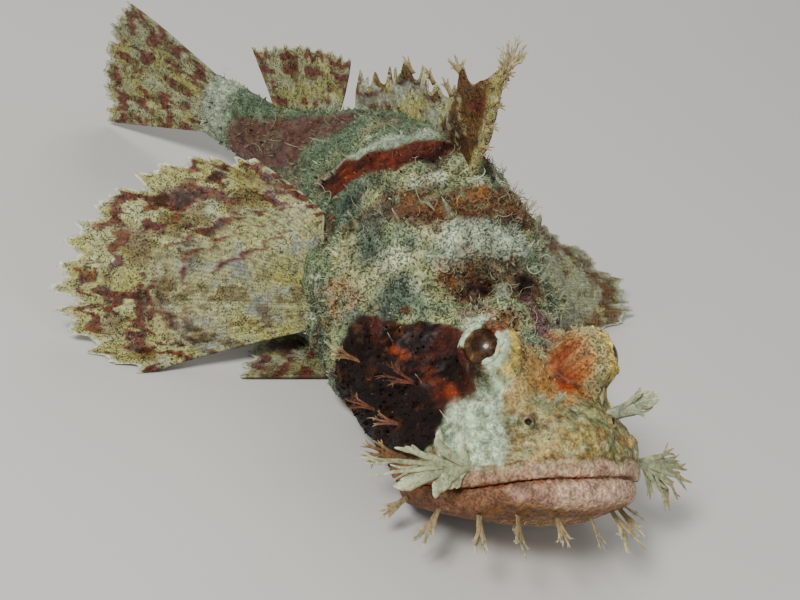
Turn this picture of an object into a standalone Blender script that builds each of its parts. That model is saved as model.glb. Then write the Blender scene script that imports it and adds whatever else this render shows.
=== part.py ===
"""Papuan scorpionfish, life size, lying on its belly with its tail bent to its right.

The fish is drawn straight first: s runs back from the snout, y to the fish's left and z up from the
floor. bend() then lays it along the curved line of the back. Sizes are in millimetres, and a mesh is
turned to metres when it is made. The origin is the flat of the belly that the fish rests on, with +X
towards the head.
"""
import math

import bpy
import bmesh
import numpy as np

MM = 0.001
GAP = 0.3                       # left between neighbouring solids
HALF_GAP = GAP / 2

# Driving dimensions of the fish
STANDARD_LENGTH = 205.0         # snout to the root of the tail fin
HEAD_LENGTH = 88.0              # snout to the rear edge of the gill cover, along its middle
BELLY_STATION = 108.0           # the point of the belly that is the origin
BEND_START = 80.0               # behind this the back curves to the fish's right
TAIL_TURN = math.radians(26)    # heading of the tail fin's root against the head
NOSE_LENGTH = 28.0              # the rounded front of the jaws, seen from above
NOSE_DEPTH = 8.0                # the rounded front of the jaws, seen from the side
EYE_STATION, EYE_SIDE, EYE_HEIGHT = 31.0, 13.8, 46.5
EYE_RADIUS = 6.2
EYE_LOOK = np.array([-0.25, 0.80, 0.54]) / np.linalg.norm([-0.25, 0.80, 0.54])
TURRET_DEPTH, TURRET_RADIUS = 3.0, 8.8   # the fleshy ball round the eye, set in from the eye's middle
RIM_REACH, RIM_ANGLE, RIM_RADIUS = 7.2, math.radians(50), 1.3    # the lid's rim round the eye
GAPE_FRONT, GAPE_CORNER = 32.0, 9.0      # height of the mouth line in front and at its corner
GAPE_STATION = 33.0                      # how far back the corner of the mouth is
AROUND = 50                     # columns round the body


def curve_through(pairs):
    """A smooth curve through (station, value) pairs that never overshoots them."""
    x, y = np.array(pairs, float).T
    slope = np.diff(y) / np.diff(x)
    both = slope[:-1] * slope[1:]
    total = slope[:-1] + slope[1:]
    tangent = np.empty_like(y)
    tangent[1:-1] = np.where(both > 0, 2 * both / np.where(both > 0, total, 1), 0)
    tangent[0], tangent[-1] = slope[0], slope[-1]

    def value(s):
        s = np.clip(s, x[0], x[-1])
        i = np.clip(np.searchsorted(x, s) - 1, 0, len(x) - 2)
        h = x[i + 1] - x[i]
        t = (s - x[i]) / h
        ends = (1 + 2 * t) * (1 - t) ** 2 * y[i] + t * t * (3 - 2 * t) * y[i + 1]
        return ends + t * (1 - t) ** 2 * h * tangent[i] + t * t * (t - 1) * h * tangent[i + 1]

    return value


TOP = curve_through([(0, 36.5), (5, 38.5), (10, 40.5), (18, 43.5), (26, 46.5), (34, 48), (45, 48.5),
                     (57, 49.5), (67, 57), (78, 64), (90, 68), (104, 67), (122, 61), (140, 53), (160, 43),
                     (180, 35.5), (205, 34)])
BOTTOM = curve_through([(0, 18), (5, 13.5), (12, 8.5), (22, 3), (35, -1.5), (116, -1.5), (130, 0.5),
                        (148, 5.5), (166, 9.5), (185, 12), (205, 12)])
MIDDLE = curve_through([(0, 27.5), (12, 23), (30, 17.5), (52, 19), (78, 23), (112, 26), (150, 25),
                        (205, 23)])
HALF_WIDTH = curve_through([(0, 26), (28, 27.5), (48, 29.5), (66, 31), (86, 31), (100, 28.5), (118, 24),
                            (137, 18), (156, 12), (175, 7.5), (195, 5), (205, 4.4)])
UPPER_POWER = curve_through([(0, 2.2), (12, 1.8), (32, 1.5), (58, 1.5), (80, 1.5), (100, 1.65), (135, 1.9),
                             (205, 2)])
LOWER_POWER = curve_through([(0, 2.2), (30, 2.7), (90, 2.7), (130, 2.2), (205, 2)])


def heading(s):
    """How far the back has turned at s, in radians."""
    t = np.clip((s - BEND_START) / (STANDARD_LENGTH - BEND_START), 0, 1.35)
    return TAIL_TURN * t ** 1.15


BACK_S = np.linspace(-30, 300, 1321)
BACK_STEP = BACK_S[1] - BACK_S[0]
BACK_X = -np.cumsum(np.cos(heading(BACK_S))) * BACK_STEP
BACK_Y = -np.cumsum(np.sin(heading(BACK_S))) * BACK_STEP
BACK_X -= np.interp(BELLY_STATION, BACK_S, BACK_X)
BACK_Y -= np.interp(BELLY_STATION, BACK_S, BACK_Y)
SNOUT_Y = np.interp(0, BACK_S, BACK_Y)


def bend(points):
    """Straight-fish points (s, y, z) laid along the curved back, still in millimetres."""
    s, y, z = np.moveaxis(np.asarray(points, float), -1, 0)
    turn = heading(s)
    x = np.interp(s, BACK_S, BACK_X) - y * np.sin(turn)
    return np.stack([x, np.interp(s, BACK_S, BACK_Y) + y * np.cos(turn), z], -1)


def fade(value, start, end):
    """0 before start and 1 after end, with a smooth step between; start may be the larger."""
    t = np.clip((value - start) / (end - start), 0, 1)
    return t * t * (3 - 2 * t)


def mound(p, centre, radius):
    """A round swelling about a centre given for the left side, and its mirror on the right."""
    q = np.stack([p[..., 0], np.abs(p[..., 1]), p[..., 2]], -1) - centre
    return np.exp(-(q ** 2).sum(-1) / radius ** 2)


def crest(p, start, end, width):
    """A rounded ridge along the line from start to end, mirrored as a mound is."""
    q = np.stack([p[..., 0], np.abs(p[..., 1]), p[..., 2]], -1)
    start, end = np.array(start, float), np.array(end, float)
    along = np.clip(((q - start) @ (end - start)) / ((end - start) @ (end - start)), 0, 1)
    near = start + along[..., None] * (end - start)
    return np.exp(-((q - near) ** 2).sum(-1) / width ** 2)


def gape(s):
    """Height of the mouth line, which falls from the front to the corner."""
    return GAPE_FRONT + (GAPE_CORNER - GAPE_FRONT) * np.clip(s / GAPE_STATION, -0.5, 1.4)


def relief(p):
    """How far the skin stands out from the plain body at p, in millimetres."""
    s, y, z = p[..., 0], np.abs(p[..., 1]), p[..., 2]
    eye = np.array([EYE_STATION, EYE_SIDE, EYE_HEIGHT])
    out = 6.0 * mound(p, eye + [0, -1.5, -1], 8.5)
    out -= 4.5 * np.exp(-(y / 5.5) ** 2) * fade(s, 14, 25) * fade(s, 52, 44) * fade(z, 38, 42)
    out -= 4.5 * np.exp(-((s - 57) / 5.5) ** 2) * fade(y, 17, 9) * fade(z, 38, 44)
    out += 1.8 * crest(p, (64, 8, 54), (76, 10, 62), 3.6)
    out += 2.2 * np.exp(-(y / 6) ** 2 - ((s - 9) / 5) ** 2) * fade(z, 36, 38)
    out += 2.6 * crest(p, (15, 22, 34), (70, 32, 34), 2.8)
    out -= 2.8 * mound(p, (41, 24, 41), 7.0)
    out -= 2.4 * mound(p, (45, 31, 20), 9.5)
    out += 2.2 * mound(p, (13, 20, 32), 6.0)
    out += 2.0 * crest(p, (11, 24, 24.5), (34, 28.5, 9.5), 3.2)
    lips = fade(s, 36, 28)
    height = z - gape(s)
    out += 1.5 * lips * np.exp(-((height - 2.6) / 1.9) ** 2)
    out -= 1.4 * lips * np.exp(-((height - 6.6) / 1.4) ** 2)
    out += 2.6 * lips * np.exp(-((height + 5.0) / 4.2) ** 2)
    out -= 1.2 * lips * np.exp(-(height / 0.9) ** 2)
    rear = gill_edge_of(s, y, z)
    out += 2.0 * fade(s - rear, -26, -3) * fade(s - rear, 0.6, -0.2) * fade(y, 10, 20)
    out += 2.6 * mound(p, (101, 28, 22), 10.0)
    return out


def gill_edge_of(s, y, z):
    """Station of the gill cover's rear edge at a point of the side."""
    side = np.cos(np.arctan2(z - MIDDLE(s), np.maximum(y, 1e-6)))
    return gill_edge(side, z - MIDDLE(s))


def gill_edge(side, above):
    """The rear edge of the head: furthest back on the side, and forward over nape and throat."""
    return HEAD_LENGTH - 6 + 11 * np.abs(side) ** 1.5 - 5 * fade(above, -2, -14)


def plain_body(s, v):
    """The body without its relief: rounded sections whose width, heights and squareness follow s."""
    round_front = np.sqrt(np.clip(1 - (1 - np.minimum(s, NOSE_LENGTH) / NOSE_LENGTH) ** 2, 0, 1))
    deep_front = np.sqrt(np.clip(1 - (1 - np.minimum(s, NOSE_DEPTH) / NOSE_DEPTH) ** 2, 0, 1))
    c, d = np.cos(v), np.sin(v)
    power = np.where(d >= 0, UPPER_POWER(s), LOWER_POWER(s))
    reach = (np.abs(c) ** power + np.abs(d) ** power) ** (-1 / power)
    tall = np.where(d >= 0, TOP(s) - MIDDLE(s), MIDDLE(s) - BOTTOM(s)) * deep_front
    return np.stack([s, HALF_WIDTH(s) * round_front * c * reach, MIDDLE(s) + tall * d * reach], -1)


def skin(s, v, lift=0.0):
    """Points of the finished skin, standing lift off it, and flat where the belly meets the floor."""
    s, v = np.broadcast_arrays(np.asarray(s, float), np.asarray(v, float))
    step_s, step_v = 0.05, 0.002
    here = plain_body(s, v)
    along = plain_body(s + step_s, v) - plain_body(np.maximum(s - step_s, 0.001), v)
    around = plain_body(s, v + step_v) - plain_body(s, v - step_v)
    normal = np.cross(around, along)
    normal /= np.maximum(np.linalg.norm(normal, axis=-1, keepdims=True), 1e-9)
    points = here + normal * (relief(here) + lift)[..., None]
    points[..., 2] = np.maximum(points[..., 2], -lift)
    return points


def rooted(s, degrees):
    """(point, outward direction) on the skin; 0 degrees is the left side, 90 the back."""
    v = math.radians(degrees)
    point = skin(s, v)
    normal = np.cross(skin(s, v + 0.02) - skin(s, v - 0.02), skin(s + 0.4, v) - skin(s - 0.4, v))
    return point, normal / np.linalg.norm(normal)


def unit(vector):
    vector = np.array(vector, float)
    return vector / np.linalg.norm(vector)


def material(name, colour, roughness=0.6):
    """A wet, slightly glossy skin or shell colour."""
    made = bpy.data.materials.new(name)
    made.use_nodes = True
    shader = made.node_tree.nodes["Principled BSDF"]
    shader.inputs["Base Color"].default_value = (*colour, 1)
    shader.inputs["Roughness"].default_value = roughness
    shader.inputs["Metallic"].default_value = 0.0
    return made


def mesh_object(name, points, faces, colour=None):
    """An object from points in millimetres, closed, facing out and smooth shaded."""
    mesh = bpy.data.meshes.new(name)
    mesh.from_pydata((np.asarray(points, float) * MM).tolist(), [], [list(f) for f in faces])
    work = bmesh.new()
    work.from_mesh(mesh)
    bmesh.ops.recalc_face_normals(work, faces=work.faces)
    if work.calc_volume(signed=True) < 0:
        bmesh.ops.reverse_faces(work, faces=work.faces)
    work.to_mesh(mesh)
    work.free()
    mesh.shade_smooth()
    made = bpy.data.objects.new(name, mesh)
    bpy.context.scene.collection.objects.link(made)
    if colour:
        mesh.materials.append(colour)
    return made


def grid_faces(rows, columns, closed, first=0):
    """Triangles of a grid of points, row by row; closed joins the last column to the first."""
    row, column = np.meshgrid(np.arange(rows - 1), np.arange(columns - (not closed)), indexing="ij")
    a = first + row * columns + column
    b = first + row * columns + (column + 1) % columns
    c, d = a + columns, b + columns
    return np.concatenate([np.stack([a, b, d], -1).reshape(-1, 3), np.stack([a, d, c], -1).reshape(-1, 3)])


def lofted(name, rings, colour=None):
    """A closed solid through rings of points, its two ends filled from their middles."""
    rows, columns = rings.shape[:2]
    points = np.concatenate([rings.reshape(-1, 3), rings[[0, -1]].mean(1)])
    k = np.arange(columns)
    start = np.stack([k, np.full(columns, rows * columns), (k + 1) % columns], -1)
    last = (rows - 1) * columns
    end = np.stack([last + k, last + (k + 1) % columns, np.full(columns, rows * columns + 1)], -1)
    return mesh_object(name, points, np.concatenate([grid_faces(rows, columns, True), start, end]), colour)


def applied(target):
    """Makes the target's modifiers part of its mesh and keeps only its largest closed surface."""
    graph = bpy.context.evaluated_depsgraph_get()
    mesh = bpy.data.meshes.new_from_object(target.evaluated_get(graph))
    target.modifiers.clear()
    target.data = mesh
    work = bmesh.new()
    work.from_mesh(mesh)
    bmesh.ops.triangulate(work, faces=work.faces)
    bmesh.ops.remove_doubles(work, verts=work.verts, dist=0.000002)
    work.faces.ensure_lookup_table()
    unseen, shells = set(work.faces), []
    while unseen:
        shell, front = set(), [unseen.pop()]
        while front:
            face = front.pop()
            shell.add(face)
            for edge in face.edges:
                for other in edge.link_faces:
                    if other in unseen:
                        unseen.remove(other)
                        front.append(other)
        shells.append(shell)
    shells.sort(key=len)
    bmesh.ops.delete(work, geom=[f for shell in shells[:-1] for f in shell], context="FACES")
    work.to_mesh(mesh)
    work.free()
    mesh.shade_smooth()
    return target


def remove(objects):
    for used in objects:
        bpy.data.objects.remove(used)


def joined(target, pieces):
    """The target with closed pieces fused into it by one union."""
    group = bpy.data.collections.new("pieces of " + target.name)
    for piece in pieces:
        group.objects.link(piece)
    union = target.modifiers.new("fuse", "BOOLEAN")
    union.operation = "UNION"
    union.operand_type = "COLLECTION"
    union.collection = group
    union.solver = "EXACT"
    applied(target)
    remove(pieces)
    bpy.data.collections.remove(group)
    return target


def trimmed(target, cutter, operation="DIFFERENCE"):
    """The target cut by the cutter, which stays."""
    cut = target.modifiers.new("trim", "BOOLEAN")
    cut.operation = operation
    cut.object = cutter
    cut.solver = "EXACT"
    return applied(target)


# The body's rings. The head's stations crowd towards the blunt front, and behind the cheek they lean so
# that the last one is the gill cover's rear edge.
HEAD_STATIONS = np.concatenate([NOSE_LENGTH * (1 - np.cos(np.radians(np.linspace(7, 84, 11)))),
                                np.linspace(28, HEAD_LENGTH, 23)])
FRONT_STATIONS = np.linspace(HEAD_LENGTH, 128, 9)
REAR_STATIONS = np.linspace(128, 167, 7)
TAIL_STATIONS = np.linspace(167, STANDARD_LENGTH, 6)
LEAN_START = 48.0
ANGLES = np.linspace(0, 2 * np.pi, AROUND, endpoint=False)


def leaned(stations):
    """Stations for every column, leaning towards the gill cover's edge near the back of the head."""
    edge = gill_edge(np.cos(ANGLES), np.sin(ANGLES) * 30)
    s = np.repeat(stations[:, None], AROUND, 1)
    behind = FRONT_STATIONS[-1]
    head = LEAN_START + (s - LEAN_START) * (edge - LEAN_START) / (HEAD_LENGTH - LEAN_START)
    trunk = behind + (s - behind) * (behind - edge) / (behind - HEAD_LENGTH)
    return np.where(s <= LEAN_START, s, np.where(s <= HEAD_LENGTH, head, np.where(s < behind, trunk, s)))


def shortened(stations, front, back):
    """Stations with the gap to the neighbouring solid taken off the first and the last."""
    s = leaned(stations)
    if front:
        s[0] += HALF_GAP
    if back:
        s[-1] -= HALF_GAP
    return s


def body_length(name, stations, colour, front=True, back=True):
    """One closed length of the body."""
    return lofted(name, bend(skin(shortened(stations, front, back), ANGLES)), colour)


def body_mould():
    """The whole body, one gap larger all round, for trimming the roots of the fins."""
    stations = np.concatenate([HEAD_STATIONS, FRONT_STATIONS[1:], REAR_STATIONS[1:], TAIL_STATIONS[1:]])
    s = leaned(stations)
    s[-1] += GAP
    mould = lofted("mould", bend(skin(s, ANGLES, GAP)))
    mould.hide_render = True
    mould.display_type = "WIRE"
    return mould


def gape_cutter(name, shift):
    """A block below the mouth line, its upper face moved up by shift; the lower jaw lies inside it."""
    front = np.linspace(-14, GAPE_STATION, 16)
    edge = [(s, gape(s) + shift) for s in front]
    edge += [(GAPE_STATION + 13 + shift, -6), (GAPE_STATION + 13 + shift, -24), (-14, -24)]
    edge = np.array(edge)
    sides = [np.stack([edge[:, 0], np.full(len(edge), y), edge[:, 1]], -1) for y in (-60.0, 60.0)]
    points = bend(np.concatenate(sides))
    count = len(edge)
    faces = [list(range(count)), list(range(2 * count - 1, count - 1, -1))]
    faces += [[k, (k + 1) % count, (k + 1) % count + count, k + count] for k in range(count)]
    cutter = mesh_object(name, points, faces)
    cutter.hide_render = True
    return cutter


def ball(name, centre, radius, colour=None, rings=10, columns=16):
    """A sphere whose poles lie fore and aft."""
    tilt = np.linspace(0, np.pi, rings + 1)[1:-1, None]
    turn = np.linspace(0, 2 * np.pi, columns, endpoint=False)[None, :]
    shape = np.stack([np.cos(tilt) + 0 * turn, np.sin(tilt) * np.cos(turn), np.sin(tilt) * np.sin(turn)], -1)
    points = centre + radius * np.concatenate([shape.reshape(-1, 3), [[1, 0, 0], [-1, 0, 0]]])
    k = np.arange(columns)
    count = (rings - 1) * columns
    last = count - columns
    start = np.stack([k, np.full(columns, count), (k + 1) % columns], -1)
    end = np.stack([last + k, last + (k + 1) % columns, np.full(columns, count + 1)], -1)
    faces = np.concatenate([grid_faces(rings - 1, columns, True), start, end])
    return mesh_object(name, points, faces, colour)


def thorn(root, direction, length, radius, sides=5):
    """A head spine: a tapered cone whose root is sunk in the skin."""
    direction = unit(direction)
    across = unit(np.cross(direction, [0.13, 0.21, 0.97]))
    other = np.cross(direction, across)
    turn = np.linspace(0, 2 * np.pi, sides, endpoint=False)
    ring = np.outer(np.cos(turn), across) + np.outer(np.sin(turn), other)
    base = root - direction * 1.6 + ring * radius
    middle = root + direction * length * 0.5 + ring * radius * 0.62
    points = np.concatenate([base, middle, [root + direction * length, root - direction * 1.6]])
    k = np.arange(sides)
    faces = [*grid_faces(2, sides, True)]
    faces += [*np.stack([sides + k, sides + (k + 1) % sides, np.full(sides, 2 * sides)], -1)]
    faces += [*np.stack([(k + 1) % sides, k, np.full(sides, 2 * sides + 1)], -1)]
    return mesh_object("thorn", bend(points), faces)


def frond(root, along, flat, length, lobes, stem=0.42, bow=0.0, thick=0.9, width=0.17, sink=2.0):
    """A skin flap like a small leaf: a stem, then a palm that splits into rounded lobes.

    along is the way it grows, flat the way its face looks. lobes are (degrees from along, share of the
    length) in order across the palm. bow curls it towards flat.
    """
    along, flat = unit(along), unit(flat)
    across = unit(np.cross(flat, along))
    flat = np.cross(along, across)
    reach = length * (1 - stem)
    outline = []
    for number, (degrees, share) in enumerate(lobes):
        turn = math.radians(degrees)
        way = np.array([math.cos(turn), math.sin(turn)])
        side = np.array([-way[1], way[0]])
        half = width * reach
        if number:
            before = math.radians((lobes[number - 1][0] + degrees) / 2)
            outline.append(np.array([math.cos(before), math.sin(before)]) * reach * 0.36)
        outline += [way * reach * share * 0.80 - side * half, way * reach * share,
                    way * reach * share * 0.80 + side * half]
    neck = 0.13 * length
    outline += [(-0.16 * reach, neck), (-length * stem - sink, neck * 0.75),
                (-length * stem - sink, -neck * 0.75), (-0.16 * reach, -neck)]
    outline = np.array(outline)
    middle = length * stem
    a = np.append(outline[:, 0], 0.0) + middle
    b = np.append(outline[:, 1], 0.0)
    curl = bow * (np.clip(a, 0, None) / length) ** 2 * length
    centre = root + a[:, None] * along + b[:, None] * across + curl[:, None] * flat
    half = np.append(np.full(len(outline), 0.28), thick / 2)[:, None]
    count = len(a)
    points = np.concatenate([centre + half * flat, centre - half * flat])
    k = np.arange(count - 1)
    after = (k + 1) % (count - 1)
    faces = [*np.stack([k, after, np.full(count - 1, count - 1)], -1)]
    faces += [*np.stack([after + count, k + count, np.full(count - 1, 2 * count - 1)], -1)]
    faces += [*np.stack([after, k, k + count], -1), *np.stack([after, k + count, after + count], -1)]
    return mesh_object("frond", bend(points), faces)


def fan(name, roots, tips, flat, colour, rows=6, notch=0.08, ray=0.85, web=0.32, bow=0.0, ragged=0.0):
    """A fin: rays from roots to tips, thick as ridges on both faces, with a thin web between them.

    roots, tips and flat hold one row for each ray, in world millimetres. The web stops short of the ray
    tips by notch, bow cups the fan along flat, and ragged varies how far the rays stand out.
    """
    count = len(roots)
    columns = 2 * count - 1
    place = np.linspace(0, count - 1, columns)
    whole = np.arange(count)
    spread = [np.stack([np.interp(place, whole, part[:, axis]) for axis in range(3)], -1)
              for part in (roots, tips, flat)]
    start, end, face = spread
    is_ray = (np.arange(columns) % 2 == 0)
    jag = np.where(is_ray, 1 + ragged * np.sin(place * 2.4), 1 - notch)
    t = np.linspace(0, 1, rows + 1)[:, None]
    face = face / np.linalg.norm(face, axis=1, keepdims=True)
    sheet = start[None] + (end - start)[None] * (t * jag[None])[..., None]
    length = np.linalg.norm(end - start, axis=1)
    sheet = sheet + face[None] * (bow * length[None] * np.sin(np.pi * 0.5 * t) * t)[..., None]
    along = np.gradient(sheet, axis=0)
    across = np.gradient(sheet, axis=1)
    normal = np.cross(along, across)
    normal /= np.maximum(np.linalg.norm(normal, axis=-1, keepdims=True), 1e-9)
    half = np.where(is_ray[None], ray * (1 - 0.62 * t), web * (1 - 0.15 * t))
    half = np.where(t == 1, np.where(is_ray, 0.24, 0.26)[None], half)
    points = np.concatenate([(sheet + normal * half[..., None]).reshape(-1, 3),
                             (sheet - normal * half[..., None]).reshape(-1, 3)])
    number = (rows + 1) * columns
    front = grid_faces(rows + 1, columns, False)
    back = front[:, ::-1] + number
    r, c = np.arange(rows), np.arange(columns - 1)
    rims = []
    first, last = r * columns, r * columns + columns - 1
    for a, b in ((first, first + columns), (last + columns, last), (c + 1, c),
                 (rows * columns + c, rows * columns + c + 1)):
        rims += [np.stack([a, b, b + number], -1), np.stack([a, b + number, a + number], -1)]
    return mesh_object(name, points, np.concatenate([front, back, *rims]), colour)


def clear_scene():
    for old in list(bpy.data.objects):
        bpy.data.objects.remove(old)


HEAD_SPINES = [                 # station, degrees round the body, length, radius at the root
    (11, 70, 2.6, 1.2), (21, 66, 3.4, 1.5), (37, 66, 3.6, 1.5), (43, 69, 3.2, 1.4),
    (65, 72, 4.2, 1.7), (73, 72, 4.6, 1.8), (65, 52, 3.2, 1.4), (78, 50, 3.8, 1.5),
    (28, 27, 2.4, 1.2), (41, 27, 2.6, 1.3), (55, 27, 3.0, 1.4), (67, 25, 4.2, 1.6),
    (70, 11, 3.6, 1.5), (70, -4, 3.2, 1.4), (67, -18, 2.8, 1.3), (86, 33, 4.6, 1.6), (84, 20, 3.8, 1.5),
]
SPINE_LEAN = np.array([0.80, 0.0, 0.22])      # head spines point back and a little up


def head_spines():
    """Both sides' head spines, each leaning back from the skin."""
    made = []
    for station, degrees, length, radius in HEAD_SPINES:
        for angle in (degrees, 180 - degrees):
            point, normal = rooted(station, angle)
            made.append(thorn(point, normal * 0.9 + SPINE_LEAN, length, radius))
    return made


WIDE_PALM = [(-100, 0.62), (-66, 0.86), (-34, 0.98), (-4, 1.0), (26, 0.9), (56, 0.98), (92, 0.6)]
SMALL_PALM = [(-58, 0.78), (-14, 1.0), (30, 0.86), (70, 0.6)]
TWIG_PALM = [(-46, 0.9), (2, 1.0), (48, 0.82)]


def mirrored(vector, side):
    """A direction or point given for the left side, taken to the side +1 (left) or -1 (right)."""
    return np.array(vector, float) * [1, side, 1]


def head_flaps(side):
    """The flaps of one side of the upper head: lachrymal frond, nostril, brow, cheek and gill cover."""
    def at(station, degrees):
        return rooted(station, degrees if side > 0 else 180 - degrees)[0]

    lachrymal = at(14, 16)
    return [
        frond(lachrymal, mirrored((0.10, 0.92, 0.06), side), mirrored((-0.75, 0.3, 0.60), side), 20,
              WIDE_PALM, stem=0.32, bow=-0.10, thick=1.4, width=0.11, sink=3.0),
        frond(at(10, 58), mirrored((-0.25, 0.72, 0.64), side), mirrored((-0.7, -0.3, 0.5), side), 12,
              SMALL_PALM, stem=0.5, bow=0.1, width=0.16),
        frond(at(29, 74), mirrored((0.05, 0.45, 0.88), side), mirrored((1, 0, 0), side), 7,
              TWIG_PALM, stem=0.5, width=0.2),
        frond(at(47, 2), mirrored((0.45, 0.85, -0.06), side), mirrored((-0.5, 0.2, 0.8), side), 12,
              SMALL_PALM, stem=0.4, bow=-0.1, width=0.16),
        frond(at(61, 4), mirrored((0.55, 0.8, 0.1), side), mirrored((-0.3, 0.2, 0.9), side), 9,
              TWIG_PALM, stem=0.42, width=0.18),
        frond(at(56, 38), mirrored((0.35, 0.75, 0.5), side), mirrored((-0.6, 0.1, 0.6), side), 7,
              TWIG_PALM, stem=0.42, width=0.18),
    ]


CHIN_FLAPS = [                  # station, degrees below the widest line, length
    (1.6, 60, 8.5), (4.5, 30, 12.5), (9.5, 27, 10.0), (17, 26, 11.5), (26, 27, 8.5),
]


def chin_flaps(side):
    """The row of tassels under one side of the lower jaw."""
    made = []
    for number, (station, degrees, length) in enumerate(CHIN_FLAPS):
        point, normal = rooted(station, -degrees if side > 0 else 180 + degrees)
        outward = unit([normal[0], normal[1], 0])
        along = outward * 0.9 + [0, 0, -0.22]
        twist = 0.5 * math.sin(2.1 * number + side)
        sideways = np.cross(outward, [0, 0, 1])
        made.append(frond(point, along, np.array([0, 0, 1]) + sideways * twist, length,
                          SMALL_PALM if number % 2 else TWIG_PALM, stem=0.46, bow=0.0, width=0.16, sink=2.4))
    return made


def nostril(side):
    """The raised rim of the front nostril, a short cup."""
    root, normal = rooted(15, 60 if side > 0 else 120)
    way = unit(normal + [-0.5, 0, 0.2])
    across = unit(np.cross(way, [0, 1, 0.2]))
    other = np.cross(way, across)
    turn = np.linspace(0, 2 * np.pi, 8, endpoint=False)
    ring = np.outer(np.cos(turn), across) + np.outer(np.sin(turn), other)
    profile = [(1.9, -1.6), (1.5, 1.4), (0.8, 1.5), (0.55, 0.2)]      # radius, height
    rings = np.array([root + way * height + ring * radius for radius, height in profile])
    return lofted("nostril", bend(rings))


def lid(side):
    """The fleshy turret that the eye sits in, and the rim that stands round its opening."""
    centre = mirrored((EYE_STATION, EYE_SIDE, EYE_HEIGHT), side)
    look = mirrored(EYE_LOOK, side)
    across = unit(np.cross(look, [1, 0, 0]))
    other = np.cross(look, across)
    ring_count, sides = 18, 6
    turn = np.linspace(0, 2 * np.pi, ring_count, endpoint=False)
    spin = np.linspace(0, 2 * np.pi, sides, endpoint=False)
    outward = np.outer(np.cos(turn), across) + np.outer(np.sin(turn), other)
    middle = centre + look * RIM_REACH * math.cos(RIM_ANGLE) + outward * RIM_REACH * math.sin(RIM_ANGLE)
    tube = middle[:, None] + RIM_RADIUS * (np.cos(spin)[None, :, None] * outward[:, None]
                                           + np.sin(spin)[None, :, None] * look)
    faces = grid_faces(ring_count + 1, sides, True) % (ring_count * sides)
    rim = mesh_object("rim", bend(tube.reshape(-1, 3)), faces)
    return [rim, ball("turret", bend(centre - look * TURRET_DEPTH), TURRET_RADIUS)]


def make_head(colours):
    """The upper head with its lids, spines, nostrils and flaps, and the lower jaw with its tassels."""
    head = body_length("head", HEAD_STATIONS, colours["head"], front=False)
    jaw = head.copy()
    jaw.data = head.data.copy()
    jaw.name = "lower_jaw"
    jaw.data.materials.clear()
    jaw.data.materials.append(colours["jaw"])
    bpy.context.scene.collection.objects.link(jaw)
    above, below = gape_cutter("above", HALF_GAP), gape_cutter("below", -HALF_GAP)
    trimmed(head, above)
    trimmed(jaw, below, "INTERSECT")
    pieces = head_spines()
    for side in (1, -1):
        pieces += head_flaps(side)
        pieces += [nostril(side), *lid(side)]
    joined(head, pieces)
    joined(jaw, chin_flaps(1) + chin_flaps(-1))
    for side in (1, -1):
        centre = bend(mirrored((EYE_STATION, EYE_SIDE, EYE_HEIGHT), side))
        socket = ball("socket", centre, EYE_RADIUS + GAP)
        trimmed(head, socket)
        remove([socket])
        ball("eye_left" if side > 0 else "eye_right", centre, EYE_RADIUS, colours["eye"])
    remove([above, below])
    return head, jaw


BODY_FLAPS = [                  # station, degrees round the body, length, for the right side and the left
    (93, 58, 5.5), (99, 74, 6.5), (105, 40, 5.0), (114, 62, 5.5), (122, 12, 5.0),
]


def body_flaps():
    """Small branched flaps scattered over the front of the trunk."""
    made = []
    for side in (1, -1):
        for station, degrees, length in BODY_FLAPS:
            point, normal = rooted(station + 1.5 * side, degrees if side > 0 else 180 - degrees)
            made.append(frond(point, normal + [0.5, 0, 0.2], (1, 0.3 * side, -0.2), length, TWIG_PALM,
                              stem=0.5, width=0.2))
    return made


def straight_fan(name, roots, tips, flat, mould, colour, **more):
    """A fin given on the straight fish, bent with it and trimmed where it leaves the body."""
    ahead = bend(np.asarray(roots, float))
    made = fan(name, ahead, bend(np.asarray(tips, float)), np.asarray(flat, float), colour, **more)
    return trimmed(made, mould)


DORSAL_HEIGHTS = [29, 26, 19, 16, 16, 16, 16, 15, 14, 12, 10, 13]    # the twelve dorsal spines
DORSAL_START, DORSAL_END = 78.0, 140.0


def spiny_dorsal(mould, colour):
    """The spiny front of the dorsal fin, its web deeply cut between the spines."""
    count = len(DORSAL_HEIGHTS)
    station = np.linspace(DORSAL_START, DORSAL_END, count)
    height = np.array(DORSAL_HEIGHTS, float)
    share = np.linspace(0, 1, count)
    roots = np.stack([station, 0 * station, TOP(station) - 4], -1)
    lean_back = height * (-0.04 + 0.50 * np.sqrt(share))
    lean_left = height * 0.05
    tips = np.stack([station + lean_back, lean_left, TOP(station) + height * (0.94 - 0.22 * share)], -1)
    flat = np.repeat([[0.0, 1.0, 0.0]], count, 0)
    made = straight_fan("dorsal_fin_spiny", roots, tips, flat, mould, colour, rows=6, notch=0.34, ray=1.05,
                        web=0.34)
    way = unit(tips[0] - roots[0])
    tassel = frond(tips[0] - way * 1.0, way, (0.6, 0.8, 0), 9, SMALL_PALM, stem=0.3, width=0.2, sink=2.5)
    flaps = [frond(tips[k] - unit(tips[k] - roots[k]), unit(tips[k] - roots[k]) + [0.4, 0, 0], (0, 1, 0), 5,
                   TWIG_PALM, stem=0.3, width=0.24, sink=2.0) for k in (2, 4, 6)]
    return joined(made, [tassel, *flaps])


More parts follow.
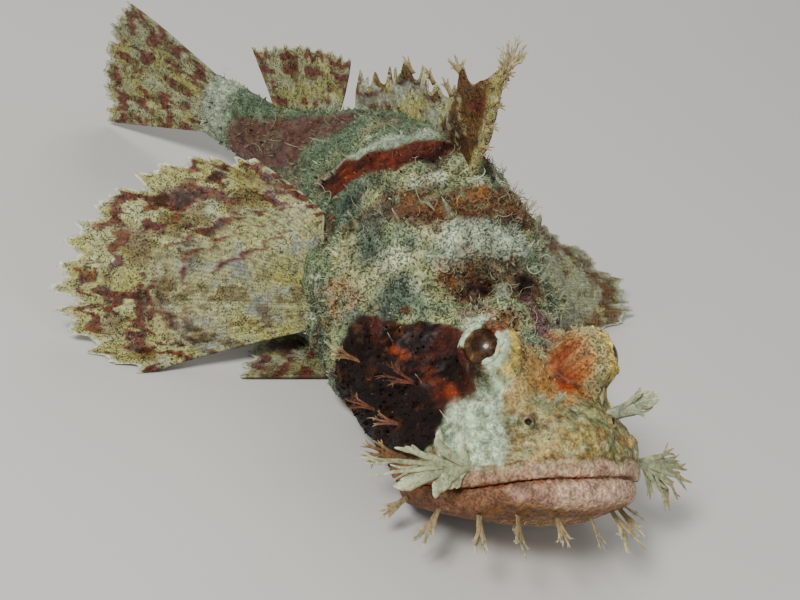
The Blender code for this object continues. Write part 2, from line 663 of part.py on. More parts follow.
def soft_dorsal(mould, colour):
    """The soft rear of the dorsal fin, a rounded sail of ten rays."""
    share = np.linspace(0, 1, 10)
    station = 149 + 27 * share
    height = 9 + 7 * np.sin(np.pi * (0.22 + 0.60 * share))
    roots = np.stack([station, 0 * share, TOP(station) - 3], -1)
    tips = np.stack([station + 5 + 11 * share, 4 - 5 * share, TOP(station) + height], -1)
    return straight_fan("dorsal_fin_soft", roots, tips, np.repeat([[0.0, 1, 0]], 10, 0), mould, colour,
                        rows=5, notch=0.07, ray=0.7, web=0.32)


def tail_fin(mould, colour):
    """The rounded tail fin, half folded, its lowest rays just clear of the floor."""
    share = np.linspace(-1, 1, 13)
    roots = np.stack([np.full(13, STANDARD_LENGTH - 3.0), 0 * share, 23 + 9.0 * share], -1)
    length = 44 - 4 * share ** 2
    tips = np.stack([STANDARD_LENGTH + length * np.cos(share * 0.48), -3 + 2 * np.cos(3 * share),
                     22.6 + 21.6 * share], -1)
    return straight_fan("tail_fin", roots, tips, np.repeat([[0.0, 1, 0]], 13, 0), mould, colour, rows=6,
                        notch=0.05, ray=0.75, web=0.32, bow=-0.05)


def anal_fin(mould, colour):
    """The anal fin, folded out to the fish's left so that it lies beside the belly."""
    share = np.linspace(0, 1, 8)
    station = 137 + 25 * share
    low = BOTTOM(station)
    half = HALF_WIDTH(station)
    roots = np.stack([station, half * 0.25, low + 3.0], -1)
    length = 13 + 7 * np.sin(np.pi * (0.25 + 0.55 * share))
    tips = np.stack([station + 7 + 5 * share, half * 0.3 + length * 0.94, 0.9 + 1.2 * share], -1)
    return straight_fan("anal_fin", roots, tips, np.repeat([[0.0, 0.4, 1]], 8, 0), mould, colour, rows=5,
                        notch=0.08, ray=0.7, web=0.32)


PECTORAL_ROOT = np.array([97.0, 27.0, 21.0])      # middle of the fin's base on the left side
PECTORAL_RAYS = 17
PECTORAL_TIPS = {               # how far back, out and up the tips lie from the root, from the top ray down
    -1: [(27, 12, 24), (33, 24, 23), (34, 40, 18), (30, 53, 10), (25, 62, 0), (16, 66, -10), (5, 60, -17),
         (-6, 48, -19)],
    1: [(25, 15, 9), (30, 27, 6), (30, 42, 1), (24, 55, -6), (16, 64, -13), (7, 66, -17), (-4, 59, -19),
        (-13, 46, -20)],
}


def pectoral_fin(side, mould, colour):
    """A pectoral fin spread as a broad fan, from a short ray up and back to low ones along the floor."""
    share = np.linspace(0, 1, PECTORAL_RAYS)
    known = np.array(PECTORAL_TIPS[side], float)
    place = share * (len(known) - 1)
    reach = np.stack([np.interp(place, np.arange(len(known)), part) for part in known.T], -1)
    base = PECTORAL_ROOT + np.stack([2 - 4 * share, 0 * share, 11 - 22 * share], -1)
    tips = PECTORAL_ROOT + reach
    start = base - (tips - base) * [0.02, 0.10, 0.02]
    flat = np.cross(np.gradient(tips, axis=0), tips - base)
    turn = heading(PECTORAL_ROOT[0])
    spin = np.array([[-math.cos(turn), -math.sin(turn), 0], [-math.sin(turn), math.cos(turn), 0], [0, 0, 1]])
    anchor = bend(mirrored(PECTORAL_ROOT, side))

    def world(points):
        return anchor + ((points - PECTORAL_ROOT) * [1, side, 1]) @ spin

    name = "pectoral_fin_left" if side > 0 else "pectoral_fin_right"
    made = fan(name, world(start), world(tips), (flat * [1, side, 1]) @ spin, colour, rows=7, notch=0.075,
               ray=0.95, web=0.34, bow=0.05, ragged=0.02)
    return trimmed(made, mould)


def pelvic_fin(side, mould, colour):
    """A pelvic fin spread flat on the floor beside the belly."""
    count = 6
    share = np.linspace(0, 1, count)
    turn = np.radians(4 + 50 * share)
    length = 33 - 7 * share
    base = np.stack([83 + 6 * share, 16 - 2 * share, 1.3 + 0 * share], -1)
    out = np.stack([np.sin(turn), np.cos(turn), 0 * turn], -1)
    roots = base * [1, side, 1]
    tips = (base + out * length[:, None] + [0, 0, -0.35]) * [1, side, 1]
    name = "pelvic_fin_left" if side > 0 else "pelvic_fin_right"
    return straight_fan(name, roots, tips, np.repeat([[0.0, 0, 1]], count, 0), mould, colour, rows=5,
                        notch=0.10, ray=0.8, web=0.34)


def build():
    clear_scene()
    colours = {
        "head": material("mottled skin of the head", (0.42, 0.38, 0.27)),
        "jaw": material("pink skin of the jaw", (0.56, 0.36, 0.29)),
        "body": material("mottled skin of the body", (0.36, 0.36, 0.26)),
        "fin": material("banded fin skin", (0.42, 0.36, 0.24)),
        "eye": material("wet eye", (0.10, 0.045, 0.015), 0.15),
    }
    make_head(colours)
    trunk = body_length("trunk_front", FRONT_STATIONS, colours["body"])
    joined(trunk, body_flaps())
    body_length("trunk_rear", REAR_STATIONS, colours["body"])
    body_length("tail_stalk", TAIL_STATIONS, colours["body"], back=False)
    mould = body_mould()
    spiny_dorsal(mould, colours["fin"])
    soft_dorsal(mould, colours["fin"])
    tail_fin(mould, colours["fin"])
    anal_fin(mould, colours["fin"])
    for side in (1, -1):
        pectoral_fin(side, mould, colours["fin"])
        pelvic_fin(side, mould, colours["fin"])
    remove([mould])


build()
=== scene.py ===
import math

import bpy
import numpy as np
from mathutils import Matrix


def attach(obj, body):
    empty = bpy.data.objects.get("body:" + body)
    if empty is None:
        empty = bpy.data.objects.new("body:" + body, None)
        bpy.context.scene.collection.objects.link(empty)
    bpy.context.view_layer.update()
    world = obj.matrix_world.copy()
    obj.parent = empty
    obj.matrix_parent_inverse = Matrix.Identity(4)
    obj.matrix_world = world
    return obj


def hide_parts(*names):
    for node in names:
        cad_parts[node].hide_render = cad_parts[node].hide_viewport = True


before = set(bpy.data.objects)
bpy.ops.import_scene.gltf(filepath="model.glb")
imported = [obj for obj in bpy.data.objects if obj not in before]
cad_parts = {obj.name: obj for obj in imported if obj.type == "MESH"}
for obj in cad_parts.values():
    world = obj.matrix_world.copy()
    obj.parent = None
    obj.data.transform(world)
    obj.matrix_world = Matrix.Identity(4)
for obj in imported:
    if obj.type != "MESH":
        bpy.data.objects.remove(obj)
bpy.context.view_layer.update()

# A papuan scorpionfish on its belly. Everything on the fish is worked out straight first, in millimetres:
# s runs back from the snout, y to the fish's left, z up. bend() then lays it along the curved back.
mm = 0.001

fish = {
    "standardLength": 205.0,    # snout to the root of the tail fin
    "headLength": 88.0,
    "bellyStation": 108.0,      # the station that lies over the origin
    "bendStart": 80.0,
    "tailTurn": math.radians(26), "turnReach": 1.35, "turnPower": 1.15,
    "noseLength": 28.0,
    "noseDepth": 8.0,
    "eye": np.array([31.0, 13.8, 46.5]),
    "eyeRadius": 6.2,
    "eyeOff": {1: np.array([-1.4, -2.6, -0.4]), -1: np.array([0.4, -2.1, -0.4])},    # left eye and right eye
    "socketRadius": 5.6,
    "turretDepth": 1.2, "turretRadius": 8.1,
    "floorGap": 0.03,           # nothing of the skin lies lower
    "lidAngle": math.radians(41),
    "headLean": math.radians(3.0), "leanAxis": (-22.0, 25.0),
    "leanStations": (75, 30), "leanHeights": (1, 18),       # none at the first, all of it at the second
}


def unit(vector):
    vector = np.asarray(vector, float)
    return vector / np.maximum(np.linalg.norm(vector, axis=-1, keepdims=True), 1e-9)


fish["look"] = unit([-0.25, 0.80, 0.54])
sideNames = {1: "left", -1: "right"}


def curveThrough(pairs):
    # cubic pieces whose slopes at the given points are the harmonic mean of the slopes on either side
    x, y = np.array(pairs, float).T
    slope = np.diff(y) / np.diff(x)
    both, total = slope[:-1] * slope[1:], slope[:-1] + slope[1:]
    tangent = np.empty_like(y)
    tangent[1:-1] = np.where(both > 0, 2 * both / np.where(both > 0, total, 1), 0)
    tangent[0], tangent[-1] = slope[0], slope[-1]

    def value(s):
        s = np.clip(s, x[0], x[-1])
        i = np.clip(np.searchsorted(x, s) - 1, 0, len(x) - 2)
        h = x[i + 1] - x[i]
        t = (s - x[i]) / h
        ends = (1 + 2 * t) * (1 - t) ** 2 * y[i] + t * t * (3 - 2 * t) * y[i + 1]
        return ends + t * (1 - t) ** 2 * h * tangent[i] + t * t * (t - 1) * h * tangent[i + 1]

    return value


topLine = curveThrough([(0, 36.5), (5, 38.5), (10, 40.5), (18, 43.5), (26, 46.5), (34, 48), (45, 48.5),
                        (57, 49.5), (67, 57), (78, 64), (90, 68), (104, 67), (122, 61), (140, 53), (160, 43),
                        (180, 35.5), (205, 34)])
bottomLine = curveThrough([(0, 20.5), (5, 16.5), (12, 11), (22, 4.5), (35, -1.5), (116, -1.5), (130, 0.5),
                           (148, 5.5), (166, 9.5), (185, 12), (205, 12)])
middleLine = curveThrough([(0, 27.5), (12, 23), (30, 17.5), (52, 19), (78, 23), (112, 26), (150, 25),
                           (205, 23)])
halfWidth = curveThrough([(0, 26), (28, 27.5), (48, 29.5), (66, 31), (86, 31), (100, 28.5), (118, 24),
                          (137, 18), (156, 12), (175, 7.5), (195, 5), (205, 4.4)])
upperPower = curveThrough([(0, 2.2), (12, 1.8), (32, 1.5), (58, 1.5), (80, 1.5), (100, 1.65), (135, 1.9),
                           (205, 2)])
lowerPower = curveThrough([(0, 2.2), (30, 2.7), (90, 2.7), (130, 2.2), (205, 2)])


def fade(value, start, end):
    # rises smoothly from 0 at the start to 1 at the end
    t = np.clip((value - start) / (end - start), 0, 1)
    return t * t * (3 - 2 * t)


def heading(s):
    # the turn of the back at station s, which goes on a little past the root of the tail fin
    t = np.clip((s - fish["bendStart"]) / (fish["standardLength"] - fish["bendStart"]), 0, fish["turnReach"])
    return fish["tailTurn"] * t ** fish["turnPower"]


backS = np.linspace(-30, 300, 1321)
backStep = backS[1] - backS[0]
backX = -np.cumsum(np.cos(heading(backS))) * backStep
backY = -np.cumsum(np.sin(heading(backS))) * backStep
backX -= np.interp(fish["bellyStation"], backS, backX)
backY -= np.interp(fish["bellyStation"], backS, backY)


def bend(points):
    # the head leans to its left, then station s goes to the back's curve and out sideways square to it by y
    s, y, z = np.moveaxis(np.asarray(points, float), -1, 0)
    lean = fish["headLean"] * fade(s, *fish["leanStations"]) * fade(z, *fish["leanHeights"])
    across, above = y - fish["leanAxis"][0], z - fish["leanAxis"][1]
    y = fish["leanAxis"][0] + across * np.cos(lean) + above * np.sin(lean)
    z = fish["leanAxis"][1] + above * np.cos(lean) - across * np.sin(lean)
    turn = heading(s)
    x = np.interp(s, backS, backX) - y * np.sin(turn)
    return np.stack([x, np.interp(s, backS, backY) + y * np.cos(turn), z], -1)


def folded(p):
    # both sides of the fish as the left one
    return np.stack([p[..., 0], np.abs(p[..., 1]), p[..., 2]], -1)


def mound(p, centre, radius):
    # a round swelling on both sides, 1 at its middle
    return np.exp(-((folded(p) - centre) ** 2).sum(-1) / radius ** 2)


def nearLine(p, start, end):
    # distance from a line between two points
    start, end = np.array(start, float), np.array(end, float)
    along = np.clip(((p - start) @ (end - start)) / ((end - start) @ (end - start)), 0, 1)
    return np.linalg.norm(p - start - along[..., None] * (end - start), axis=-1)


def crest(p, start, end, width):
    # a straight ridge on both sides, 1 along its line
    return np.exp(-(nearLine(folded(p), start, end) / width) ** 2)


def cornerValue(i, j, k, seed):
    # a fixed random value from -1 to 1 for whole coordinates and a seed
    h = (i * 374761393 + j * 668265263 + k * 1440662683 + seed * 1274126177) & 0xffffffff
    h = ((h ^ (h >> 13)) * 1274126177) & 0xffffffff
    return ((h ^ (h >> 16)) & 0xffff) / 32767.5 - 1


def noise(p, cell, seed=0):
    # random values at the corners of cubes, smoothly blended between them, from -1 to 1
    p = np.asarray(p, float) / cell
    base = np.floor(p).astype(np.int64)
    t = p - base
    t = t * t * (3 - 2 * t)
    total = 0
    for a in (0, 1):
        for b in (0, 1):
            for c in (0, 1):
                weight = ((t[..., 0] if a else 1 - t[..., 0]) * (t[..., 1] if b else 1 - t[..., 1])
                          * (t[..., 2] if c else 1 - t[..., 2]))
                total = total + weight \
                    * cornerValue(base[..., 0] + a, base[..., 1] + b, base[..., 2] + c, seed)
    return total


def cloud(p, cell, seed=0, layers=3):
    # several noises, each half as large and half as strong as the one before
    return sum(noise(p, cell / 2 ** n, seed + 17 * n) / 2 ** n for n in range(layers)) \
        / (2 - 2 ** (1 - layers))


spineTable = [                  # station, degrees round the body, length, radius at the root
    (11, 70, 1.0, 1.1), (21, 66, 1.3, 1.2), (37, 66, 2.4, 1.4), (43, 69, 2.4, 1.3),
    (65, 72, 3.4, 1.7), (73, 72, 3.8, 1.8), (65, 52, 2.8, 1.4), (78, 50, 3.2, 1.6),
    (28, 27, 1.8, 0.9), (41, 27, 2.0, 0.9), (55, 27, 2.4, 1.0), (67, 25, 3.4, 1.4),
    (70, 11, 3.0, 1.4), (70, -4, 2.8, 1.3), (67, -18, 2.4, 1.2), (86, 33, 3.8, 1.5), (84, 20, 3.2, 1.4),
]
swellings = [                   # height, middle, radius
    (2.2, (13, 20, 32), 6.0), (1.3, (9, 6.5, 41), 4.0), (1.0, (16, 7.5, 42), 3.5), (0.9, (7, 13, 38), 3.5),
    (-2.8, (41, 24, 41), 7.0), (-2.4, (45, 31, 20), 9.5), (2.6, (101, 28, 22), 10.0),
    (1.8, (82, 26, 41), 4.5), (1.5, (73, 27, 36), 5.0), (1.2, (80, 30, 30), 5.0),
    (-1.2, (77, 27, 44), 3.5), (-1.0, (66, 27, 36), 3.5),
]
ridges = [                      # height, start, end, width
    (1.8, (64, 8, 54), (76, 10, 62), 3.6), (2.6, (15, 22, 34), (70, 32, 34), 2.8),
    (-0.8, (4, 9.5, 39), (14, 11.5, 41), 1.3), (2.0, (11, 24, 24.5), (34, 28.5, 9.5), 3.2),
]
gapeLine = curveThrough([(0, 35.3), (4, 31.8), (8, 27.4), (12, 23.4), (20, 17.8), (33, 9.0), (46, 2.0)])


def gape(s):
    # the height of the mouth line at station s
    return gapeLine(s)


def gillEdge(side, above):
    # the station of the gill cover's rear edge, by how far out and how high above the middle line it lies
    return fish["headLength"] - 6 + 11 * np.abs(side) ** 1.5 - 5 * fade(above, -2, -14)


def relief(p):
    # how far the skin stands out from the plain body: the sum of rounded swellings, ridges and grooves
    s, y, z = p[..., 0], np.abs(p[..., 1]), p[..., 2]
    out = 6.0 * mound(p, fish["eye"] + [0, -1.5, -1], 8.5)
    for size, middle, radius in swellings:
        out = out + size * mound(p, middle, radius)
    for size, start, end, width in ridges:
        out = out + size * crest(p, start, end, width)
    # the hollows between the eyes and behind them, and the middle of the snout
    out -= 4.5 * np.exp(-(y / 5.5) ** 2) * fade(s, 14, 25) * fade(s, 52, 44) * fade(z, 38, 42)
    out -= 4.5 * np.exp(-((s - 57) / 5.5) ** 2) * fade(y, 17, 9) * fade(z, 38, 44)
    out += 2.2 * np.exp(-(y / 6) ** 2 - ((s - 9) / 5) ** 2) * fade(z, 36, 38)
    # the lips, with a groove over the upper one and the mouth line between them
    lips = fade(s, 36, 28)
    height = z - gape(s)
    for size, above, width in ((0.7, 2.6, 2.2), (-0.3, 6.6, 1.2), (2.3, -4.6, 3.8), (-1.9, 0.0, 0.5)):
        out += size * lips * np.exp(-((height - above) / width) ** 2)
    # the gill cover stands out and drops off at its rear edge
    side = np.cos(np.arctan2(z - middleLine(s), np.maximum(y, 1e-6)))
    rear = gillEdge(side, z - middleLine(s))
    out += 2.0 * fade(s - rear, -26, -3) * fade(s - rear, 0.6, -0.2) * fade(y, 10, 20)
    for station, degrees, length, radius in spineTable:
        foot = plainBody(np.array(float(station)), math.radians(degrees))
        out += 0.45 * length * mound(p, foot * [1, np.sign(foot[1]), 1], 1.3 + 1.3 * radius)
    return out


def plainBody(s, v):
    # superellipse sections: (|cos|^n + |sin|^n)^(-1/n) times the half width and the height at s
    roundFront = np.sqrt(np.clip(1 - (1 - np.minimum(s, fish["noseLength"]) / fish["noseLength"]) ** 2, 0, 1))
    deepFront = np.sqrt(np.clip(1 - (1 - np.minimum(s, fish["noseDepth"]) / fish["noseDepth"]) ** 2, 0, 1))
    c, d = np.cos(v), np.sin(v)
    power = np.where(d >= 0, upperPower(s), lowerPower(s))
    reach = (np.abs(c) ** power + np.abs(d) ** power) ** (-1 / power)
    tall = np.where(d >= 0, topLine(s) - middleLine(s), middleLine(s) - bottomLine(s)) * deepFront
    return np.stack([s, halfWidth(s) * roundFront * c * reach, middleLine(s) + tall * d * reach], -1)


def toBall(points, normals, centre, radius):
    # the way along each normal to the far side of a ball, nothing where the normal misses it
    off = points - centre
    half = (off * normals).sum(-1)
    inside = half ** 2 - (off ** 2).sum(-1) + radius ** 2
    return np.where(inside > 0, np.maximum(-half + np.sqrt(np.maximum(inside, 0)), 0), 0)


def eyeAt(side):
    return fish["eye"] * [1, side, 1] + fish["eyeOff"][side]


def eyeAngle(p, side):
    # the angle from the line of sight, seen from the middle of the eye, and the distance
    away = p - eyeAt(side)
    reach = np.linalg.norm(away, axis=-1)
    return np.arccos(np.clip(away @ (fish["look"] * [1, side, 1]) / np.maximum(reach, 1e-6), -1, 1)), reach


def skinPoints(s, v, lift=0.0, turrets=True):
    s, v = np.broadcast_arrays(np.asarray(s, float), np.asarray(v, float))
    here = plainBody(s, v)
    along = plainBody(s + 0.05, v) - plainBody(np.maximum(s - 0.05, 0.001), v)
    around = plainBody(s, v + 0.002) - plainBody(s, v - 0.002)
    normal = unit(np.cross(around, along))
    points = here + normal * (relief(here) + lift)[..., None]
    for side in (1, -1) if turrets else ():
        # a turret is the far side of a ball, hollowed inside the lids so that the eye shows
        centre = eyeAt(side) - fish["look"] * [1, side, 1] * fish["turretDepth"]
        points = points + normal * toBall(points, normal, centre, fish["turretRadius"] + lift)[..., None]
        angle, reach = eyeAngle(points, side)
        hollow = fade(angle, fish["lidAngle"] + 0.05, fish["lidAngle"] - 0.05) \
            * (reach < fish["turretRadius"] + 3)
        inward = hollow * (1 - fish["socketRadius"] / np.maximum(reach, fish["socketRadius"]))
        points = points - (points - eyeAt(side)) * inward[..., None]
    points[..., 2] = np.maximum(points[..., 2], fish["floorGap"])      # the belly lies flat on the floor
    return points


def rooted(s, degrees):
    # a point on the skin and the way out of it; 0 degrees is the left side, 90 the back
    v = math.radians(degrees)
    point = skinPoints(s, v, turrets=False)
    across = skinPoints(s, v + 0.02, turrets=False) - skinPoints(s, v - 0.02, turrets=False)
    along = skinPoints(s + 0.4, v, turrets=False) - skinPoints(s - 0.4, v, turrets=False)
    return point, unit(np.cross(across, along))


def linear(hexValue):
    # an sRGB hex colour as linear light
    value = np.array([int(hexValue[i:i + 2], 16) / 255 for i in (1, 3, 5)])
    return np.where(value <= 0.04045, value / 12.92, ((value + 0.055) / 1.055) ** 2.4)


def gridFaces(rows, columns, closed=False, first=0):
    row, column = np.meshgrid(np.arange(rows - 1), np.arange(columns - (not closed)), indexing="ij")
    a = first + row * columns + column
    b = first + row * columns + (column + 1) % columns
    return np.stack([a, a + columns, b + columns, b], -1).reshape(-1, 4)


def closingCaps(rows, columns, first=0):
    # triangles to a middle point before the first row and after the last of a closed grid
    k = np.arange(columns)
    last = (rows - 1) * columns
    caps = [np.stack([np.full(columns, rows * columns), k, (k + 1) % columns], -1),
            np.stack([np.full(columns, rows * columns + 1), last + (k + 1) % columns, last + k], -1)]
    return np.concatenate(caps) + first


def makePiece(name, points, faceSets, tint, material, pepper=0.5, uv=None):
    # a closed mesh in world millimetres; faces are turned round if they look inwards; the tint's alpha
    # says how strongly dark specks show
    points = np.asarray(points, float).reshape(-1, 3)
    faceSets = [np.asarray(faces, np.int64) for faces in faceSets if len(faces)]
    volume = sum(np.einsum("ij,ij->", points[f[:, 0]], np.cross(points[f[:, k]], points[f[:, k + 1]]))
                 for f in faceSets for k in range(1, f.shape[1] - 1))
    if volume < 0:
        faceSets = [faces[:, ::-1] for faces in faceSets]
    corners = np.concatenate([faces.ravel() for faces in faceSets])
    sizes = np.concatenate([np.full(len(faces), faces.shape[1]) for faces in faceSets])
    mesh = bpy.data.meshes.new(name)
    mesh.vertices.add(len(points))
    mesh.vertices.foreach_set("co", (points * mm).astype(np.float32).ravel())
    mesh.loops.add(len(corners))
    mesh.loops.foreach_set("vertex_index", corners.astype(np.int32))
    mesh.polygons.add(len(sizes))
    mesh.polygons.foreach_set("loop_start", np.concatenate([[0], np.cumsum(sizes)[:-1]]).astype(np.int32))
    mesh.update(calc_edges=True)
    mesh.polygons.foreach_set("use_smooth", np.ones(len(sizes), bool))
    colour = np.ones((len(points), 4), np.float32)
    colour[:, :3] = np.clip(tint, 0, 1)
    colour[:, 3] = pepper
    mesh.attributes.new("tint", "FLOAT_COLOR", "POINT").data.foreach_set("color", colour.ravel())
    if uv is not None:
        mesh.uv_layers.new(name="OFBake").data.foreach_set("uv", uv[corners].astype(np.float32).ravel())
    mesh.materials.append(material)
    piece = bpy.data.objects.new(name, mesh)
    bpy.context.scene.collection.objects.link(piece)
    print(f"{name}: {len(points)} points, {int((sizes - 2).sum())} triangles")
    return piece


# Markings: named patches on the straight fish, with ragged edges, the same for the skin and its coat
palette = {
    "sage": "#808d67", "teal": "#435248", "straw": "#a9a876", "bone": "#c4c9a6", "umber": "#583f27",
    "mint": "#c4dab4", "maroon": "#3f160b", "nearBlack": "#130906", "orangeRed": "#8a340f", "rust": "#683c1a",
    "tan": "#a3884f", "olive": "#a09650", "beige": "#b58648", "rose": "#a97f68", "pink": "#cba189",
    "mauve": "#ae8880", "lipPale": "#d3b698", "orangeBrown": "#97601f", "yellow": "#e2c766",
           "plum": "#5f3340",
    "bandRed": "#521a0b", "mauveRed": "#5e3a33", "ash": "#a1ab92", "stone": "#55694f",
}
shades = {name: linear(value) for name, value in palette.items()}


def warped(p, reach, cell, seed):
    # the point moved by three noises, which makes straight borders jagged
    return p + reach * np.stack([cloud(p, cell, seed + 7 * axis) for axis in range(3)], -1)


def patch(p, centre, size, soft=0.16):
    # 1 inside an egg shape, 0 outside
    reach = np.linalg.norm((p - centre) / np.array(size, float), axis=-1)
    return fade(reach, 1 + soft, 1 - soft)


def stripe(p, *way, width=2.0, soft=0.18):
    # 1 near a broken line
    reach = np.min([nearLine(p, a, b) for a, b in zip(way, way[1:])], 0) / width
    return fade(reach, 1 + soft, 1 - soft)


def aroundEye(p, side):
    # where round the eye a point lies: 0 forwards and inwards, quarter turns towards the top, back and cheek
    look = fish["look"] * [1, side, 1]
    ahead = np.array([-1.5, 3.4 * -side, 0.9])
    ahead = unit(ahead - look * (ahead @ look))
    away = p - eyeAt(side)
    return np.arctan2(away @ np.cross(look, ahead) * side, away @ ahead)


def layered(tint, pepper, shade, mask, strength=1.0, specks=None):
    # a shade laid over the tint through a mask, with its own share of specks where one is given
    mask = np.clip(mask * strength, 0, 1)
    if specks is not None:
        pepper = pepper * (1 - mask) + specks * mask
    return tint * (1 - mask[..., None]) + shade * mask[..., None], pepper


def skinTint(place):
    # the skin's colour at straight points and how strongly dark specks show there
    p = warped(warped(place, 2.0, 6.0, 3), 0.6, 1.4, 5)
    f = folded(p)
    s, y, z = p[..., 0], p[..., 1], p[..., 2]
    height = z - gape(s)
    tint = shades["sage"] + 0 * p
    pepper = 0.85 + 0 * s

    def lay(name, *mask):
        nonlocal tint, pepper
        tint, pepper = layered(tint, pepper, shades[name], *mask)

    def spots(cell, seed, low, high):
        return fade(cloud(place, cell, seed), low, high)

    for name, cell, seed, low, high, strength in (
            ("straw", 6.5, 8, -0.1, 0.35, 0.75), ("teal", 9.0, 9, 0.08, 0.4, 0.8),
            ("bone", 4.0, 10, 0.2, 0.5, 0.7), ("umber", 4.5, 11, 0.25, 0.5, 0.65),
            ("rose", 7.0, 16, 0.3, 0.55, 0.35)):
        lay(name, spots(cell, seed, low, high), strength)
    # trunk: smoother and greyer, two dark bands
    trunk = fade(s, 94, 106)
    lay("stone", trunk * spots(9.0, 12, -0.7, 0.1), 0.85, 0.6)
    lay("rose", trunk * spots(10.0, 13, 0.15, 0.5), 0.3)
    lay("teal", trunk * spots(7.0, 17, 0.15, 0.5), 0.5)
    lay("ash", stripe(f, (99, 5, 67), (123, 24, 40), (126, 24, 30), width=2.4, soft=0.5), 0.75, 0.4)
    lay("teal", patch(f, (98, 25, 45), (9, 6, 9), 0.5), 0.6)
    lay("umber", patch(f, (104, 27, 38), (7, 5, 9), 0.4) * spots(3.0, 18, -0.1, 0.3), 0.8)
    lay("umber", stripe(f, (92, 3, 67), (86, 5, 64), (84, 12, 60), width=3.0, soft=0.5)
        * spots(2.6, 19, -0.3, 0.1), 0.85)
    lay("bandRed", stripe(f, (92, 6, 65), (97, 12, 61), (107, 20, 53), (117, 23, 43), width=4.7, soft=0.2),
        0.97, 0.25)
    lay("bandRed", patch(f, (112, 22, 47), (6.5, 6, 7.0), 0.15), 0.97, 0.25)
    lay("nearBlack", stripe(f, (91, 3, 67), (90, 9, 63), (110, 18, 49), (121, 22, 39), width=1.9, soft=0.5),
        0.75)
    lay("orangeRed", stripe(f, (99, 14, 59.5), (112, 21.5, 48), width=2.0, soft=0.5)
        * spots(2.5, 14, -0.3, 0.3), 0.6)
    mauve = np.maximum(stripe(f, (136, 8, 50), (154, 9, 38), width=5.0, soft=0.35),
                       stripe(f, (152, 9, 36), (170, 8, 27), (184, 5, 20), width=8.0, soft=0.25))
    lay("mauveRed", mauve * (0.75 + 0.25 * spots(4.0, 20, -0.3, 0.2)), 0.95, 0.3)
    lay("plum", mauve * spots(6.0, 21, 0.0, 0.5), 0.45)
    lay("rust", mauve * spots(5.0, 22, 0.1, 0.5), 0.35)
    lay("ash", fade(s, 189, 199), 0.9, 0.5)
    lay("bandRed", patch(f, (128, 17, 16), (9, 9, 8), 0.4), 0.6)
    # nape
    saddle = stripe(f, (85, 20, 50), (76, 12, 57), (73, 0, 61), width=5.2, soft=0.3)
    lay("rust", saddle, 0.92, 0.6)
    lay("umber", saddle * spots(4.0, 23, -0.3, 0.15), 0.85)
    lay("sage", saddle * spots(2.4, 24, 0.1, 0.4), 0.75)
    lay("orangeBrown", saddle * spots(3.0, 25, 0.15, 0.45), 0.6)
    lay("maroon", stripe(f, (80, 17, 51), (71, 9, 57), (69, 0, 60), width=1.5, soft=0.8), 0.6)
    lay("umber", spots(3.0, 15, 0.05, 0.4) * patch(f, (76, 8, 57), (9, 16, 10)), 0.6)
    lay("bone", stripe(f, (83, 8, 62), (86, 14, 58), width=1.8, soft=0.4), 0.7)
    lay("ash", patch(p, (65.5, -1, 54), (5.2, 15, 8), 0.3), 0.9, 0.75)
    lay("bone", patch(p, (66, -3, 55), (3.0, 9, 4), 0.4) * spots(3.0, 71, -0.4, 0.1), 0.7)
    lay("rose", patch(p, (64, -10, 50), (3.0, 5, 5), 0.4) * spots(3.0, 26, -0.3, 0.2), 0.5)
    lay("umber", patch(p, (60.5, 2, 45.5), (4.6, 16, 8), 0.25), 0.85, 0.8)
    lay("rust", patch(p, (60.5, 2, 45.5), (4.6, 16, 8), 0.3) * spots(3.0, 27, 0.0, 0.4), 0.7)
    lay("straw", patch(p, (60.5, 2, 45.5), (4.6, 16, 8), 0.3) * spots(2.2, 28, 0.2, 0.5), 0.7)
    # painted shade: maroon and near-black spots in the deepest parts of the hollow behind the eyes
    lay("maroon", patch(p, (60.0, -3.4, 44.8), (2.6, 4.6, 4), 0.5), 0.7)
    lay("maroon", patch(p, (61.5, 9.8, 44.5), (2.6, 5.2, 4), 0.5), 0.7)
    lay("nearBlack", patch(p, (59.7, -3.4, 44.8), (1.7, 3.2, 4), 0.5) * spots(1.8, 72, -0.6, 0.0), 0.9)
    lay("nearBlack", patch(p, (61.5, 9.8, 44.5), (1.7, 4.2, 4), 0.6) * spots(1.8, 73, -0.6, 0.0), 0.9)
    lay("rust", patch(p, (62, -11, 45), (2.2, 2.6, 4), 0.4), 0.8)
    lay("ash", patch(p, (57.4, 2.4, 44.4), (3.0, 2.4, 4), 0.3), 0.85)
    lay("plum", stripe(p, (58, 10.3, 41.8), (49, 7, 44), (38.8, 3.8, 45.8), width=2.2, soft=0.4), 0.85)
    lay("umber", stripe(p, (57, 12.3, 42), (48, 9.5, 44), (38.8, 6.2, 45.8), width=1.0, soft=0.6), 0.6)
    lay("rose", patch(p, (50, -9, 44), (4.5, 4.5, 5), 0.4), 0.6)
    lay("bone", patch(p, (43, -9, 46), (4.0, 5.5, 5), 0.4) * spots(2.5, 29, -0.3, 0.1), 0.7)
    lay("umber", patch(p, (53, 15, 43), (4, 5, 5), 0.4), 0.7)
